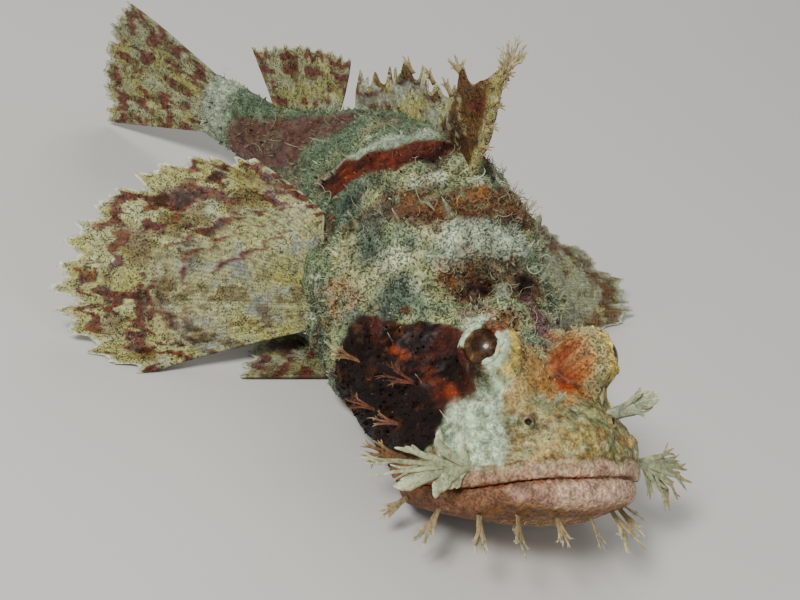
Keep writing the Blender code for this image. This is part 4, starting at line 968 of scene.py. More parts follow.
def finTint(kind, points, along, q, ray, millimetres):
    # blotches follow the rays: a noise over ray number and way along it, gathered in cross bands
    drift = 0.014 * noise(np.stack([q * 1.3, 0 * q, 0 * q], -1), 1.0, 91) + 0.014 * noise(points, 2.5, 93)
    share = along + drift
    cells = np.stack([q * 1.25, along * millimetres / 4.2, 0 * q + 0.3], -1)
    blotch = 1.2 * noise(cells, 1.0, 95) + 0.5 * noise(cells * 2.3, 1.0, 97) + 0.3 * noise(points, 1.1, 98)
    tint = finShades["olive"] + 0 * points
    pepper = 0.95 + 0 * along

    def lay(name, *mask):
        nonlocal tint, pepper
        tint, pepper = layered(tint, pepper, finShades[name], *mask)

    def spots(cell, seed, low, high):
        return fade(cloud(points, cell, seed), low, high)

    def bands(count, first, last, width):
        place = (share - first) / (last - first) * (count - 1)
        return fade(np.abs(place - np.clip(np.round(place), 0, count - 1)), width + 0.08, width - 0.04)

    lay("cream", spots(6.0, 99, -0.1, 0.4), 0.7)
    lay("ash", spots(9.0, 101, 0.05, 0.4), 0.6)
    if kind in ("pectoral", "left"):
        shift = 0.030 * np.minimum(q, 9)
        inner = fade(share - shift, 0.46, 0.34) * fade(share, 0.72, 0.60)
        lay("mauve", inner * spots(7.0, 103, -0.35, 0.15), 0.8, 0.45)
        lay("olive", inner * spots(5.0, 104, -0.2, 0.2), 0.65, 0.8)
        lay("umber", inner * fade(blotch, 0.25, 0.4) * fade(q, 7, 10), 0.6)
        lay("umber", fade(share, 0.45, 0.6) * fade(share, 0.98, 0.85) * spots(7.0, 105, 0.0, 0.35), 0.7, 1.0)
        gather = 0.28 * bands(5, 0.50, 0.93, 0.25) + 0.15 * noise(points, 9.0, 111) - 0.30
        outer = fade(share - shift, 0.30, 0.42)
        red = outer * fade(blotch + gather, 0.06, 0.14)
        lay("dark", outer * fade(blotch + gather, -0.04, 0.03) * spots(2.0, 122, -0.4, 0.1), 0.8)
        lay("wine", red, 0.9, 0.9)
        lay("rust", red * spots(3.0, 107, -0.2, 0.2), 0.7)
        lay("cream", red * spots(1.4, 124, 0.25, 0.5), 0.35)
        for middle in (0.16, 0.27, 0.38):
            # a scallop in each pair of gaps, dark at its outer rim
            lift = 0.03 * noise(np.stack([np.floor(q / 1.5) + 0.5, 0 * q + middle * 40, 0 * q], -1), 1.0, 108)
            arc = share - shift - middle - lift - 0.030 * np.sqrt(np.abs(np.sin(np.pi * q / 1.5)))
            here = fade(q, 16.0, 11.0)
            lay("wine", here * fade(arc, -0.035, -0.010) * fade(arc, 0.004, -0.004)
                * spots(4.0, 130, -0.1, 0.2), 0.6, 0.2)
            lay("wine", here * np.exp(-(arc / 0.010) ** 2) * spots(4.0, 130, -0.35, 0.0), 0.95)
            lay("cream", here * np.exp(-((arc - 0.020) / 0.008) ** 2), 0.5)
        lay("wine", fade(q, 1.3, 1.0) * bands(6, 0.30, 0.92, 0.20), 0.9)
        lay("cream", fade(q, 0.35, 0.1) * (1 - bands(6, 0.30, 0.92, 0.25)), 0.7, 0.3)
        lay("dark", fade(blotch, 0.55, 0.8) * fade(share, 0.45, 0.6), 0.7)
        if kind == "left":
            lay("ash", fade(share, 0.2, 0.35) * spots(5.0, 113, -0.5, 0.1), 0.75, 0.6)
            lay("cream", spots(4.0, 114, 0.1, 0.4), 0.6)
            lay("umber", np.exp(-((share - 0.88) / 0.05) ** 2) * spots(3.0, 116, -0.5, 0.0), 0.85)
            lay("rust", fade(share, 0.7, 0.8) * spots(3.5, 118, 0.1, 0.3), 0.7)
        lay("white", fade(along, 0.968, 0.988), 0.75, 0.1)
        lines = 0.5 + 0.5 * np.cos(2 * np.pi * 3 * q + 1.5 * noise(points, 2.0, 126))
        tint = tint * (1 + (0.16 - 0.34 * lines) * fade(along, 0.0, 0.3))[..., None]
    elif kind == "spiny":
        back = q - 2.4 * (1 - along)
        lay("rust", fade(back, 1.3, 0.8), 0.9)
        lay("umber", fade(blotch, 0.0, 0.3), 0.8)
        lay("umber", fade(back, 1.2, 0.8) * spots(3.0, 125, -0.2, 0.15), 0.8)
        lay("crimson", fade(q, 0.9, 0.4) * fade(blotch, -0.1, 0.3) * fade(np.abs(along - 0.6), 0.2, 0.1), 0.7)
        lay("dark", fade(back, 1.4, 1.0) * fade(along, 0.60, 0.35) * spots(3.0, 106, -0.4, 0.1), 0.75)
        lay("cream", spots(2.2, 109, 0.15, 0.45) * (0.4 + 0.6 * ray), 0.7)
        lay("olive", fade(q, 0.30, 0.16) * spots(3.0, 127, -0.6, -0.1), 0.7)
        lay("cream", fade(q, 0.24, 0.12) * spots(1.4, 110, -0.05, 0.3), 0.75)
        lay("mauve", fade(q, 1.5, 2.5) * spots(5.0, 112, -0.1, 0.2), 0.7, 0.4)
        lay("wine", bands(3, 0.35, 0.85, 0.2) * fade(q, 1.5, 2.5) * fade(blotch, -0.1, 0.1), 0.6)
    else:
        lay("ash", spots(5.0, 120, -0.2, 0.3), 0.6)
        tint = tint * 0.78
        lay("umber", fade(blotch, 0.0, 0.5), 0.75, 1.0)
        lay("wine", bands(4, 0.22, 0.86, 0.24) * fade(blotch, -0.25, 0.1), 0.8)
        lay("white", fade(along, 0.95, 0.98), 0.6, 0.1)
    fine = 0.30 * noise(points, 0.9, 115) + 0.18 * noise(points, 0.5, 117)
    return tint * np.clip(1 + 0.12 * (ray - 0.4) + fine, 0.3, 1.8)[..., None], pepper


def makeFin(name, node, kind, sizes, roots, tips, flat):
    # rays run from roots to tips; between them the sheet is thin and its edge is drawn back by the notch
    count, per = len(roots), sizes["perGap"]
    rows = sizes["rows"]
    q = np.linspace(0, count - 1, (count - 1) * per + 1)
    whole = np.arange(count)
    start, end, face = [np.stack([np.interp(q, whole, part[:, axis]) for axis in range(3)], -1)
                        for part in (roots, tips, flat)]
    off = np.abs(q - np.round(q))
    ray = np.exp(-(off / rayWidths["ray"]) ** 2)
    rng = np.random.default_rng(len(name) * 7 + count)
    depth = sizes["notch"] * np.interp(q, whole, rng.uniform(0.5, 1.4, count))
    if kind == "spiny":
        depth = depth * np.where(q < 1, 0.5, 1)
    elif kind != "soft":
        depth = depth * np.where(np.floor(q) % 2 == 0, 0.5, 1.0)       # the points stand in pairs
    edge = 1 - depth * (1 - np.exp(-(off / rayWidths["notch"]) ** 2))
    edge = edge - sizes["fork"] * np.exp(-(off / rayWidths["fork"]) ** 2)
    edge = edge + (0.035 if kind == "spiny" else 0.012) * noise(np.stack([q * 5, 0 * q, 0 * q], -1), 1.0, 118)
    t = np.linspace(0, 1, rows + 1)[:, None]
    sheet = start[None] + (end - start)[None] * (t * (1 + (edge - 1)[None] * fade(t, 0.55, 1.0)))[..., None]
    length = np.linalg.norm(end - start, axis=1)
    face = unit(face)
    # the first rays bow out towards the edge
    sweep = sizes.get("sweep", 0.0) * np.sin(np.pi * t ** 0.8) * fade(q, 7.0, 0.0)[None]
    sheet = sheet + unit(sheet[:, :1] - sheet[:, 3 * per:3 * per + 1]) * sweep[..., None]
    ripple = sizes["wave"] * np.sin(q * 2.1 + 4 * t) * t ** 1.5 + sizes["wave"] * noise(
        np.stack([q + 0 * t, 6 * t + 0 * q, 0 * q * t], -1), 2.0, 119) * t
    sheet = sheet + face[None] * (sizes["bow"] * length * np.sin(np.pi * 0.5 * t) * t + ripple)[..., None]
    normal = unit(np.cross(np.gradient(sheet, axis=0), np.gradient(sheet, axis=1)))
    first = 1 + (sizes["root"] - 1) * fade(q, 0.45, 0.15)[None] * (0.7 + 0.9 * cloud(sheet, 2.0, 121))
    striae = 0.035 * np.cos(2 * np.pi * 4 * q)[None] * t
    half = sizes["web"] + (sizes["ray"] * first - sizes["web"]) * ray[None] * (1 - 0.6 * t)
    half = (half + striae + 0.06 * noise(sheet, 1.3, 123)) * np.sqrt(1.0001 - t ** 12)
    half = np.maximum(half, 0.07)
    sheet[..., 2] = np.maximum(sheet[..., 2], finFloor + half)       # what would sink in lies on the floor
    columns = len(q)
    points = np.concatenate([(sheet + normal * half[..., None]).reshape(-1, 3),
                             (sheet - normal * half[..., None]).reshape(-1, 3)])
    number = (rows + 1) * columns
    front = gridFaces(rows + 1, columns)
    r, c = np.arange(rows) * columns, np.arange(columns - 1)
    rims = [np.stack([b, a, a + number, b + number], -1) for a, b in
            ((r, r + columns), (r + columns + columns - 1, r + columns - 1), (c + 1, c),
             (rows * columns + c, rows * columns + c + 1))]
    along, rayNumber, rayShare = [np.tile(np.broadcast_to(part, (rows + 1, columns)).ravel(), 2)
                                  for part in (t, q[None], ray[None])]
    tint, pepper = finTint(kind, points, along, rayNumber, rayShare, float(length.mean()))
    piece = makePiece(name, points, [front, front[:, ::-1] + number, *rims], tint, finSkin, pepper)
    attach(piece, "root")
    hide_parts(node)
    return sheet, normal, per


def makeFringe(name, made, columns, low, count, seed):
    # filaments on the outer part of a fin's rays, and on its first ray all the way up
    sheet, normal, per = made
    rng = np.random.default_rng(seed)
    column = rng.choice(np.asarray(columns), count) * per
    row = (rng.uniform(low, 1.0, count) * (len(sheet) - 1)).astype(int)
    spot, face = sheet[row, column], normal[row, column]
    along = unit(sheet[row, column] - sheet[np.maximum(row - 3, 0), column] + 1e-6)
    outward = np.cross(along, face)
    way = rng.uniform(0, 2 * np.pi, count)[:, None]
    out = unit(face * np.cos(way) + outward * np.sin(way) + 0.35 * along)
    tint = finShades["rust"] * 0.6 + finShades["olive"] * 0.4 + 0 * spot
    place = np.stack([column / sheet.shape[1], row / len(sheet)], -1)
    growFilaments(name, coatSizes["fringe"], rng, spot, out, along, place, tint, 1.0, straight=False)


def makeDorsalFins():
    height = np.array([29.5, 20.5, 14, 12.5, 13.5, 14, 15, 13.5, 13, 11, 10, 12], float)
    station = np.concatenate([[80.5], np.linspace(90, 140, len(height) - 1)])
    toRight = np.array([2.2, 6.0, 5.0, 4.0, 3.5, 3.0, 3.0, 2.5, 2, 1, 0.5, 0])
    share = np.linspace(0, 1, len(height))
    roots = np.stack([station, np.linspace(-1.2, 0, len(height)), topLine(station) - 4], -1)
    tips = np.stack([station + height * (-0.04 + 0.56 * np.sqrt(share)),
                     0.03 * height - toRight, topLine(station) + height * (0.97 - 0.25 * share)], -1)
    flat = np.repeat([[0.0, 1.0, 0.0]], len(height), 0)
    bases, ends = bend(roots), bend(tips)
    made = makeFin("spiny_dorsal", "dorsal_fin_spiny", "spiny", finSizes["spiny"], bases, ends, flat)
    makeFringe("fringe_first_spine", made, [0], 0.12, 300, 301)
    makeFringe("fringe_dorsal", made, range(1, len(height)), 0.3, 300, 303)
    share = np.linspace(0, 1, rayCounts["soft"])
    station = 149 + 27 * share
    height = 9 + 7 * np.sin(np.pi * (0.22 + 0.60 * share))
    softRoots = np.stack([station, 0 * share, topLine(station) - 3], -1)
    softTips = np.stack([station + 5 + 11 * share, 4 - 5 * share, topLine(station) + height], -1)
    makeFin("soft_dorsal", "dorsal_fin_soft", "soft", finSizes["soft"], bend(softRoots), bend(softTips),
            flat[:len(share)])
    return roots, tips


def makeTailFin():
    share = np.linspace(-1, 1, rayCounts["tail"])
    roots = np.stack([fish["standardLength"] - 3.0 + 0 * share, 0 * share, 23 + 9.0 * share], -1)
    length = 44 - 4 * share ** 2
    tips = np.stack([fish["standardLength"] + length * np.cos(share * 0.48), -3 + 2 * np.cos(3 * share),
                     22.6 + 21.6 * share], -1)
    makeFin("tail_rays", "tail_fin", "tail", finSizes["tail"], bend(roots), bend(tips),
            np.repeat([[0.0, 1, 0]], len(share), 0))


def makeAnalFin():
    share = np.linspace(0, 1, rayCounts["anal"])
    station = 137 + 25 * share
    roots = np.stack([station, halfWidth(station) * 0.25, bottomLine(station) + 3.0], -1)
    length = 13 + 7 * np.sin(np.pi * (0.25 + 0.55 * share))
    out = halfWidth(station) * 0.3 + length * 0.94
    tips = np.stack([station + 7 + 5 * share, out, 0.9 + 1.2 * share], -1)
    makeFin("anal_rays", "anal_fin", "soft", finSizes["soft"], bend(roots), bend(tips),
            np.repeat([[0.0, 0.4, 1]], len(share), 0))


pectoralRoot = np.array([97.0, 27.0, 21.0])
# how far back, out and up the tips lie, from the top ray down, right side and left
pectoralTips = {
    -1: [(27, 12, 24), (33, 24, 23), (34, 40, 18), (30, 53, 10), (25, 62, 0), (16, 66, -10), (5, 60, -17),
         (-6, 48, -19)],
    1: [(25, 15, 9), (30, 27, 6), (30, 42, 1), (24, 56, -6), (18, 67, -11), (10, 67, -15), (1, 54, -19),
        (-8, 41, -20)],
}


def makePectoralFin(side):
    share = np.linspace(0, 1, rayCounts["pectoral"])
    known = np.array(pectoralTips[side], float)
    place = share * (len(known) - 1)
    reach = np.stack([curveThrough(list(enumerate(part)))(place) for part in known.T], -1)
    base = pectoralRoot + np.stack([2 - 4 * share, 0 * share, 11 - 22 * share], -1)
    tips = pectoralRoot + reach
    start = base - (tips - base) * [0.02, 0.10, 0.02]
    flat = np.cross(np.gradient(tips, axis=0), tips - base)
    turn = heading(pectoralRoot[0])
    spin = np.array([[-math.cos(turn), -math.sin(turn), 0], [-math.sin(turn), math.cos(turn), 0], [0, 0, 1]])
    anchor = bend(pectoralRoot * [1, side, 1])
    name = sideNames[side]
    makeFin(f"pectoral_rays_{name}", f"pectoral_fin_{name}", "left" if side > 0 else "pectoral",
            finSizes["pectoral"], anchor + ((start - pectoralRoot) * [1, side, 1]) @ spin,
            anchor + ((tips - pectoralRoot) * [1, side, 1]) @ spin, (flat * [1, side, 1]) @ spin)


def makePelvicFin(side):
    share = np.linspace(0, 1, rayCounts["pelvic"])
    turn = np.radians(4 + 50 * share)
    length = (33 - 7 * share)[:, None]
    base = np.stack([83 + 6 * share, 16 - 2 * share, 1.3 + 0 * share], -1)
    out = np.stack([np.sin(turn), np.cos(turn), 0 * turn], -1)
    name = sideNames[side]
    makeFin(f"pelvic_rays_{name}", f"pelvic_fin_{name}", "pelvic", finSizes["pelvic"],
            bend(base * [1, side, 1]), bend((base + out * length + [0, 0, -0.35]) * [1, side, 1]),
            np.repeat([[0.0, 0, 1]], len(share), 0))


dorsalRoots, dorsalTips = makeDorsalFins()
makeTailFin()
makeAnalFin()
for side in (1, -1):
    makePectoralFin(side)
    makePelvicFin(side)


# Skin flaps: stems that part into fingers, each a flattened tube; a finger is a turn in degrees, a reach,
# a width, how rounded its end is and, where they part one by one, how far up the flap it leaves the stem
rightFrond = [(74, 0.30, 1.0, 1.0, 0.12), (50, 0.54, 1.2, 1.0, 0.25), (22, 0.50, 0.8, 0.8, 0.46),
              (-6, 0.95, 0.55, 0.4, 0.58), (-36, 0.80, 1.6, 1.0, 0.32), (-20, 1.10, 0.6, 0.4, 0.42),
              (-66, 0.56, 1.5, 1.0, 0.25), (-98, 0.40, 1.0, 0.9, 0.14)]
leftFrond = [(-24, 0.6, 0.5, 0.3), (-4, 0.85, 0.6, 0.4), (10, 1.05, 0.6, 0.3), (24, 1.15, 0.65, 0.4),
             (37, 1.0, 0.6, 0.3), (52, 1.1, 0.65, 0.4), (67, 0.95, 0.6, 0.3), (84, 0.7, 0.6, 0.4)]
antler = [(-40, 0.7, 0.7, 0.3), (-12, 1.0, 0.6, 0.1), (16, 0.85, 0.6, 0.1), (44, 0.55, 0.7, 0.2)]
smallPalm = [(-58, 0.7, 0.8, 0.4), (-14, 1.0, 0.8, 0.4), (30, 0.82, 0.9, 0.6), (74, 0.5, 0.8, 0.4)]
twigs = [(-38, 0.8, 0.8, 0.1), (4, 1.0, 0.7, 0.2), (50, 0.7, 0.8, 0.1)]
blunt = [(-34, 0.75, 1.2, 0.7), (-10, 1.0, 1.4, 0.6), (12, 0.9, 1.3, 0.6), (36, 0.75, 1.2, 0.7)]
flapSizes = {"steps": 12, "sides": 8, "thin": 0.30}
flapPalette = {"frond": "#a2a67e", "frondEdge": "#c6c9a0", "tan": "#a8905f", "chin": "#a68f66",
               "antler": "#6d3d2a", "pale": "#9a9c7c", "brown": "#7a5634"}
flapShades = {name: linear(value) for name, value in flapPalette.items()}


def mirrored(vector, side):
    return np.array(vector, float) * [1, side, 1]


def flapPaths(root, along, flat, length, fingers, stem, bow, width, sink, trunk, rng):
    # each finger is a bent line from inside the root, up the stem and off towards its own tip
    along, flat = unit(along), unit(flat)
    across = unit(np.cross(flat, along))
    flat = np.cross(along, across)
    reach = length * (1 - stem)
    t = 1 - (1 - np.linspace(0, 1, flapSizes["steps"])[:, None]) ** 1.5     # more rings near the tip
    paths, radii = [], []

    def add(a, b, c, wide, tipWide, rounded):
        path = (1 - t) ** 2 * a + 2 * t * (1 - t) * b + t * t * c
        ahead = (path - root) @ along
        path = path + flat * (bow * np.clip(ahead, 0, None) ** 2 / length)[:, None]
        path = path + 0.045 * length * t \
            * np.stack([noise(path / length * 6 + k, 1.0, 141) for k in (0, 9, 18)], -1)
        paths.append(path)
        end = 8 if rounded > 0.5 else 5
        swell = 1 + 0.35 * rounded * np.sin(np.pi * np.clip(t[:, 0] * 1.25 - 0.35, 0, 1))
        swell = swell * (1 + 0.22 * noise(path * 1.0 + 5 * len(paths), 1.3, 142))
        radii.append((wide + (tipWide - wide) * t[:, 0]) * swell
                     * np.sqrt(np.clip(1 - t[:, 0] ** end, 0.015, 1)))

    for degrees, share, wide, rounded, *height in fingers:
        fork = root + along * length * (height[0] if height else stem)
        turn = math.radians(degrees + rng.uniform(-5, 5))
        way = along * math.cos(turn) + across * math.sin(turn)
        tip = fork + way * reach * share * rng.uniform(0.93, 1.06) + flat * rng.uniform(-0.09, 0.09) * length
        thick = width * reach * wide
        add(root - along * sink, fork + along * reach * 0.04, tip, trunk, thick * (0.5 + 0.5 * rounded),
            rounded)
        bits = 1 if rounded > 0.8 else 2 if share < 1.2 else 5
        for number in range(bits):
            twig = math.radians(degrees + (-1) ** number * rng.uniform(24, 52))
            twigWay = along * math.cos(twig) + across * math.sin(twig)
            middle = fork + (tip - fork) * rng.uniform(0.40, 0.85)
            add(fork + (tip - fork) * 0.25, middle, middle + twigWay * reach * rng.uniform(0.14, 0.26),
                thick * 0.7, thick * (0.35 + 0.3 * rounded), rounded * 0.6)
    return np.array(paths), np.array(radii)


def makeFlaps():
    rng = np.random.default_rng(31)
    allPaths, allRadii, allFlats, tints = [], [], [], []

    def grow(root, side, along, flat, length, fingers, tone, edge, stem=0.42, bow=0.0, width=0.17, sink=2.0,
             trunk=None):
        paths, radii = flapPaths(np.array(root, float), mirrored(along, side), mirrored(flat, side), length,
                                 fingers, stem, bow, width, sink, trunk or 0.04 * length + 0.25, rng)
        allPaths.append(paths)
        allRadii.append(radii)
        allFlats.append(np.broadcast_to(unit(mirrored(flat, side)), paths.shape))
        ramp = fade(np.linspace(0, 1, flapSizes["steps"]), 0.3, 1.0)[None, :, None]
        tints.append(flapShades[tone] * (1 - ramp) + flapShades[edge] * ramp + 0 * paths)

    def at(station, degrees, side):
        return rooted(station, degrees if side > 0 else 180 - degrees)[0]

    flat = (-0.75, 0.3, 0.60)
    grow(at(14, 16, -1), -1, (0.10, 0.92, 0.06), flat, 20, rightFrond, "frond", "frondEdge", 0.29, -0.10,
         0.062, 3.0, 0.7)
    grow(at(14, 16, 1), 1, (0.10, 0.92, -0.10), flat, 18, leftFrond, "frond", "tan", 0.26, -0.10, 0.10, 3.0)
    grow(at(31, -4, -1), -1, (0.30, 0.92, 0.05), flat, 11, antler, "brown", "tan", 0.36, -0.1, 0.10)
    grow(at(33, -7, 1), 1, (0.35, 0.92, 0.0), flat, 10, smallPalm, "brown", "tan", 0.30, -0.1, 0.10)
    grow((17.5, 12.0, 38.6), 1, (-0.16, 0.80, 0.58), (-0.75, -0.45, 0.45), 12.5, blunt, "pale", "frondEdge",
         0.62, 0.02, 0.20, 3.0, 1.4)
    grow((17.5, 13.0, 39.4), 1, (-0.20, 0.72, 0.66), (-0.75, -0.45, 0.45), 10.0, twigs, "pale", "frondEdge",
         0.40, 0.1, 0.18, 3.0, 0.8)
    grow((17.5, -3.9, 41.6), 1, (-0.1, 0.1, 1), (0.9, 0.4, 0.2), 4.6, smallPalm, "pale", "frond",
         0.5, 0.0, 0.17, 1.5, 0.7)
    for side in (1, -1):
        grow(at(32, 74, side), side, (0.3, -0.1, 0.88), (1, 0, 0), 4.5, twigs, "pale", "frond", 0.5, 0.0,
             0.12, 1.5, 0.3)
        grow(at(42, 24, side), side, (0.40, 0.90, 0.20), (-0.6, 0.2, 0.8), 9.5, antler, "antler", "antler",
             0.30, -0.06, 0.07, 2.0, 0.36)
        grow(at(50, -8, side), side, (0.4, 0.9, 0.1), (-0.5, 0.2, 0.8), 7, twigs, "antler", "antler", 0.42,
             -0.1, 0.10, 2.0, 0.4)
        grow(at(40, 3, side), side, (0.4, 0.9, 0.0), (-0.5, 0.2, 0.8), 7, twigs, "antler", "tan", 0.42, -0.1,
             0.10)
        grow(at(60, 6, side), side, (0.55, 0.8, 0.1), (-0.3, 0.2, 0.9), 8, antler, "brown", "tan", 0.42, 0.0,
             0.10)
        for number, (station, degrees, length) in enumerate([(1.6, 60, 8.5), (4.5, 30, 12.5), (9.5, 27, 10.0),
                                                             (17, 26, 11.5), (26, 27, 8.5)]):
            point, normal = rooted(station, -degrees if side > 0 else 180 + degrees)
            outward = unit([normal[0], normal[1], 0])
            along = (outward * 0.9 + [0, 0, -0.30 - 0.1 * math.sin(5 * number + side)]) * [1, side, 1]
            twist = np.cross(outward, [0, 0, 1]) * 0.6 * math.sin(2.1 * number + side)
            grow(point, side, along, (np.array([0, 0, 1]) + twist) * [1, side, 1],
                 length * rng.uniform(0.8, 1.05),
                 antler if (number + side) % 2 else smallPalm, "chin", "frondEdge", rng.uniform(0.38, 0.52),
                 0.0, 0.10, 2.4)
        for station, degrees, length in [(93, 52, 4.0), (122, 12, 4.0), (77, 66, 4.5), (84, 44, 4.0)]:
            point, normal = rooted(station + 1.5 * side, degrees if side > 0 else 180 - degrees)
            grow(point, side, (normal + [0.5, 0, 0.2]) * [1, side, 1], (1, 0.3, -0.2), length, twigs, "pale",
                 "tan", 0.6, 0.0, 0.08, 1.0, 0.22)
    for number, length, fingers in ((0, 8.5, leftFrond), (0, 6.0, smallPalm), (1, 6.0, smallPalm),
                                    (2, 4.0, twigs), (4, 4.0, twigs), (6, 4.0, twigs)):
        # lacy tassels on the tips of the dorsal spines
        way = unit(dorsalTips[number] - dorsalRoots[number])
        grow(dorsalTips[number] - way * 1.5, 1,
             way + [0 if number == 0 else 0.3, 0.5 if length > 8 else -0.5, 0],
             (0.6, 0.8, 0.1), length, fingers, "chin", "frondEdge", 0.25, 0.0, 0.08, 2.0, 0.8)
    for place in np.linspace(0.25, 0.95, 9):
        # ragged tags up the front of the first spine
        spot = dorsalRoots[0] + (dorsalTips[0] - dorsalRoots[0]) * place
        grow(spot, 1, (-0.8, 0.8 * math.sin(40 * place), 0.4), (0, 1, 0.3), 3.6, twigs, "chin", "frondEdge",
             0.4, 0.0, 0.12, 1.0, 0.4)
    paths, radii = np.concatenate(allPaths), np.concatenate(allRadii)
    points, quads, triangles = tubes(paths, radii, flapSizes["sides"], np.concatenate(allFlats),
                                     flapSizes["thin"])
    points[..., 2] = np.maximum(points[..., 2], 0.3)
    tint = np.repeat(np.concatenate(tints), flapSizes["sides"], 1)
    tint = np.concatenate([tint, tint[:, :1], tint[:, -1:]], 1) \
        * (1 + 0.25 * noise(points, 1.1, 143))[..., None]
    piece = makePiece("skin_flaps", bend(points.reshape(-1, 3)), [quads, triangles], tint.reshape(-1, 3),
                      flapSkin, 0.6)
    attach(piece, "root")


makeFlaps()


# Head spines, nostrils and the rolls of the lids
def makeSpines():
    # cones whose radius falls off to the tip, bent a little back, under the skin's own colours
    sides = 10
    t = np.linspace(0, 1, 11)[:, None]
    paths, radii, tints = [], [], []
    for station, degrees, length, radius in spineTable:
        for angle in (degrees, 180 - degrees):
            point, normal = rooted(station, angle)
            way = unit(normal * 0.9 + [0.75, 0, 0.25])
            path = point + way * (t * (0.85 * length + 2.2) - 2.2) + np.array([0.8, 0, 0.1]) * t ** 2
            paths.append(path)
            radii.append(radius * 0.75 * np.clip(1 - t[:, 0], 0.02, 1) ** 0.9)
            tip = 0.7 * fade(t, 0.72, 1.0)
            tints.append(skinTint(path)[0] * (1 - tip) + linear("#d8d2b8") * tip)
    points, quads, triangles = tubes(np.array(paths), np.array(radii), sides)
    points = points + 0.14 * noise(points, 0.8, 145)[..., None]
    tint = np.repeat(np.array(tints), sides, 1)
    tint = np.concatenate([tint, tint[:, :1], tint[:, -1:]], 1)
    piece = makePiece("head_spines", bend(points.reshape(-1, 3)), [quads, triangles], tint.reshape(-1, 3),
                      spineHorn)
    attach(piece, "root")


def makeRolls():
    # a soft uneven roll of skin along each lid
    steps, sides = 90, 12
    turn = np.linspace(0, 2 * np.pi, steps, endpoint=False)[:, None]
    spin = np.linspace(0, 2 * np.pi, sides, endpoint=False)[None]
    grids, faces = [], []
    for side in (1, -1):
        look = mirrored(fish["look"], side)
        across = unit(np.cross(look, [1, 0, 0]))
        outward = np.cos(turn) * across + np.sin(turn) * np.cross(look, across)
        lid = fish["lidAngle"] + 0.06 + 0.10 * cloud(outward * 2.0, 1.0, 147)[:, None]
        middle = eyeAt(side) + 6.5 * (look * np.cos(lid) + outward * np.sin(lid))
        thick = 0.65 + 0.40 * cloud(middle, 1.8, 149)[:, None, None]
        grid = middle[:, None] \
            + thick * (np.cos(spin)[..., None] * outward[:, None] + np.sin(spin)[..., None] * look)
        faces.append(gridFaces(steps + 1, sides, True) % (steps * sides) + len(grids) * steps * sides)
        grids.append(grid.reshape(-1, 3))
    points = np.concatenate(grids)
    points = points + 0.22 * noise(points, 0.9, 150)[:, None]
    tint, pepper = skinTint(points)
    piece = makePiece("lid_rolls", bend(points), faces, tint, wetSkin, pepper)
    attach(piece, "root")


def makeNostrils():
    # a short hollow cup each, from its foot under the skin over the rim and down inside
    sides = 24
    profile = np.array([(2.2, -1.6), (1.9, -0.6), (1.5, 0.0), (1.2, 0.35), (1.0, 0.45), (0.8, 0.35),
                        (0.6, 0.1), (0.5, -0.4)])
    spin = np.linspace(0, 2 * np.pi, sides, endpoint=False)
    grids, faces, first = [], [], 0
    for degrees in (60, 120):
        root, normal = rooted(15, degrees)
        way = unit(normal + [-0.5, 0, 0.2])
        across = unit(np.cross(way, [0, 1, 0.2]))
        ring = np.cos(spin)[:, None] * across + np.sin(spin)[:, None] * np.cross(way, across)
        grid = root + way * profile[:, 1][:, None, None] + ring[None] * profile[:, 0][:, None, None]
        grids += [grid.reshape(-1, 3), grid[0].mean(0)[None], grid[-1].mean(0)[None]]
        faces += [gridFaces(len(profile), sides, True) + first, closingCaps(len(profile), sides, first)]
        first += grid.size // 3 + 2
    points = np.concatenate(grids)
    points = points + 0.1 * noise(points, 1.0, 151)[:, None]
    tint, pepper = skinTint(points)
    # painted shade: the rows down inside each cup are darkened
    holeShade = np.tile(np.repeat(fade(np.arange(len(profile) + 1), 4, 6),
                             np.append(np.full(len(profile), sides), 2)), 2)
    holeShade[np.array([1, 2]) * first // 2 - 2] = 0
    piece = makePiece("nostrils", bend(points), faces, tint * (1 - 0.85 * holeShade[:, None]), wetSkin, pepper)
    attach(piece, "root")


makeSpines()
makeRolls()
makeNostrils()


# Studio: a pale floor, one strong lamp and two larger, weaker ones
studio = {
    "floor": "#cfccc4", "floorReach": 6, "world": (0.80, 0.84, 0.88), "worldStrength": 0.32,
    "lamps": {                      # power, size and place in metres
        "key": (12.0, 0.28, (0.38, -0.66, 0.80)), "fill": (2.2, 0.6, (0.75, 0.55, 0.45)),
        "back": (3.0, 0.5, (-0.75, 0.35, 0.65)),
    },
    "lampTarget": (0.0, 0.0, 0.03), "sensorWidth": 36.0, "pictureWidth": 800,
    "azimuth": 31.21, "elevation": 29.59, "distance": 350.0, "target": (31.63, -12.58, 30.0),
    "focalPixels": 1380.2, "roll": 16.29,
}


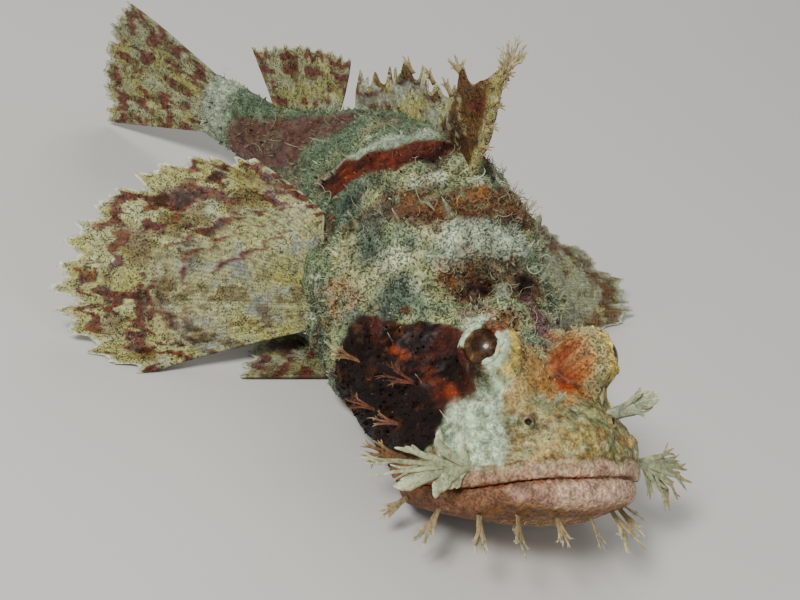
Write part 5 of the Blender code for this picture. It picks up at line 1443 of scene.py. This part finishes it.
def makeStudio():
    floorMaterial = bpy.data.materials.new("pale matt floor")
    floorMaterial.use_nodes = True
    shader = floorMaterial.node_tree.nodes["Principled BSDF"]
    shader.inputs["Base Color"].default_value = (*linear(studio["floor"]), 1)
    shader.inputs["Roughness"].default_value = 0.8
    mesh = bpy.data.meshes.new("floor")
    far = studio["floorReach"]
    mesh.from_pydata([(-far, -far, 0), (far, -far, 0), (far, far, 0), (-far, far, 0)], [], [(0, 1, 2, 3)])
    mesh.materials.append(floorMaterial)
    floor = bpy.data.objects.new("floor", mesh)
    bpy.context.scene.collection.objects.link(floor)
    world = bpy.data.worlds.new("soft room")
    world.use_nodes = True
    background = world.node_tree.nodes["Background"]
    background.inputs["Color"].default_value = (*studio["world"], 1)
    background.inputs["Strength"].default_value = studio["worldStrength"]
    bpy.context.scene.world = world
    for name, (power, size, place) in studio["lamps"].items():
        light = bpy.data.lights.new(name, "AREA")
        light.energy, light.size = power, size
        lamp = bpy.data.objects.new(name, light)
        bpy.context.scene.collection.objects.link(lamp)
        lamp.location = place
        aim(lamp, np.array(place), np.array(studio["lampTarget"]), 0.0)


def aim(thing, eye, target, roll):
    # the thing's -Z looks at the target and its +Y is up, then both are turned by roll
    forward = unit(target - eye)
    right = unit(np.cross(forward, [0, 0, 1]))
    up = np.cross(right, forward)
    turn = math.radians(roll)
    right, up = right * math.cos(turn) + up * math.sin(turn), up * math.cos(turn) - right * math.sin(turn)
    matrix = np.eye(4)
    matrix[:3, 0], matrix[:3, 1], matrix[:3, 2], matrix[:3, 3] = right, up, -forward, eye
    thing.matrix_world = Matrix(matrix.tolist())


def makeCamera():
    azimuth, elevation = math.radians(studio["azimuth"]), math.radians(studio["elevation"])
    away = np.array([math.cos(elevation) * math.cos(azimuth), -math.cos(elevation) * math.sin(azimuth),
                     math.sin(elevation)])
    target = np.array(studio["target"]) * mm
    data = bpy.data.cameras.new("camera")
    data.sensor_width = studio["sensorWidth"]
    data.lens = studio["focalPixels"] / studio["pictureWidth"] * studio["sensorWidth"]
    data.clip_start = 0.01
    camera = bpy.data.objects.new("camera", data)
    bpy.context.scene.collection.objects.link(camera)
    aim(camera, target + away * studio["distance"] * mm, target, studio["roll"])
    bpy.context.scene.camera = camera


makeStudio()
makeCamera()
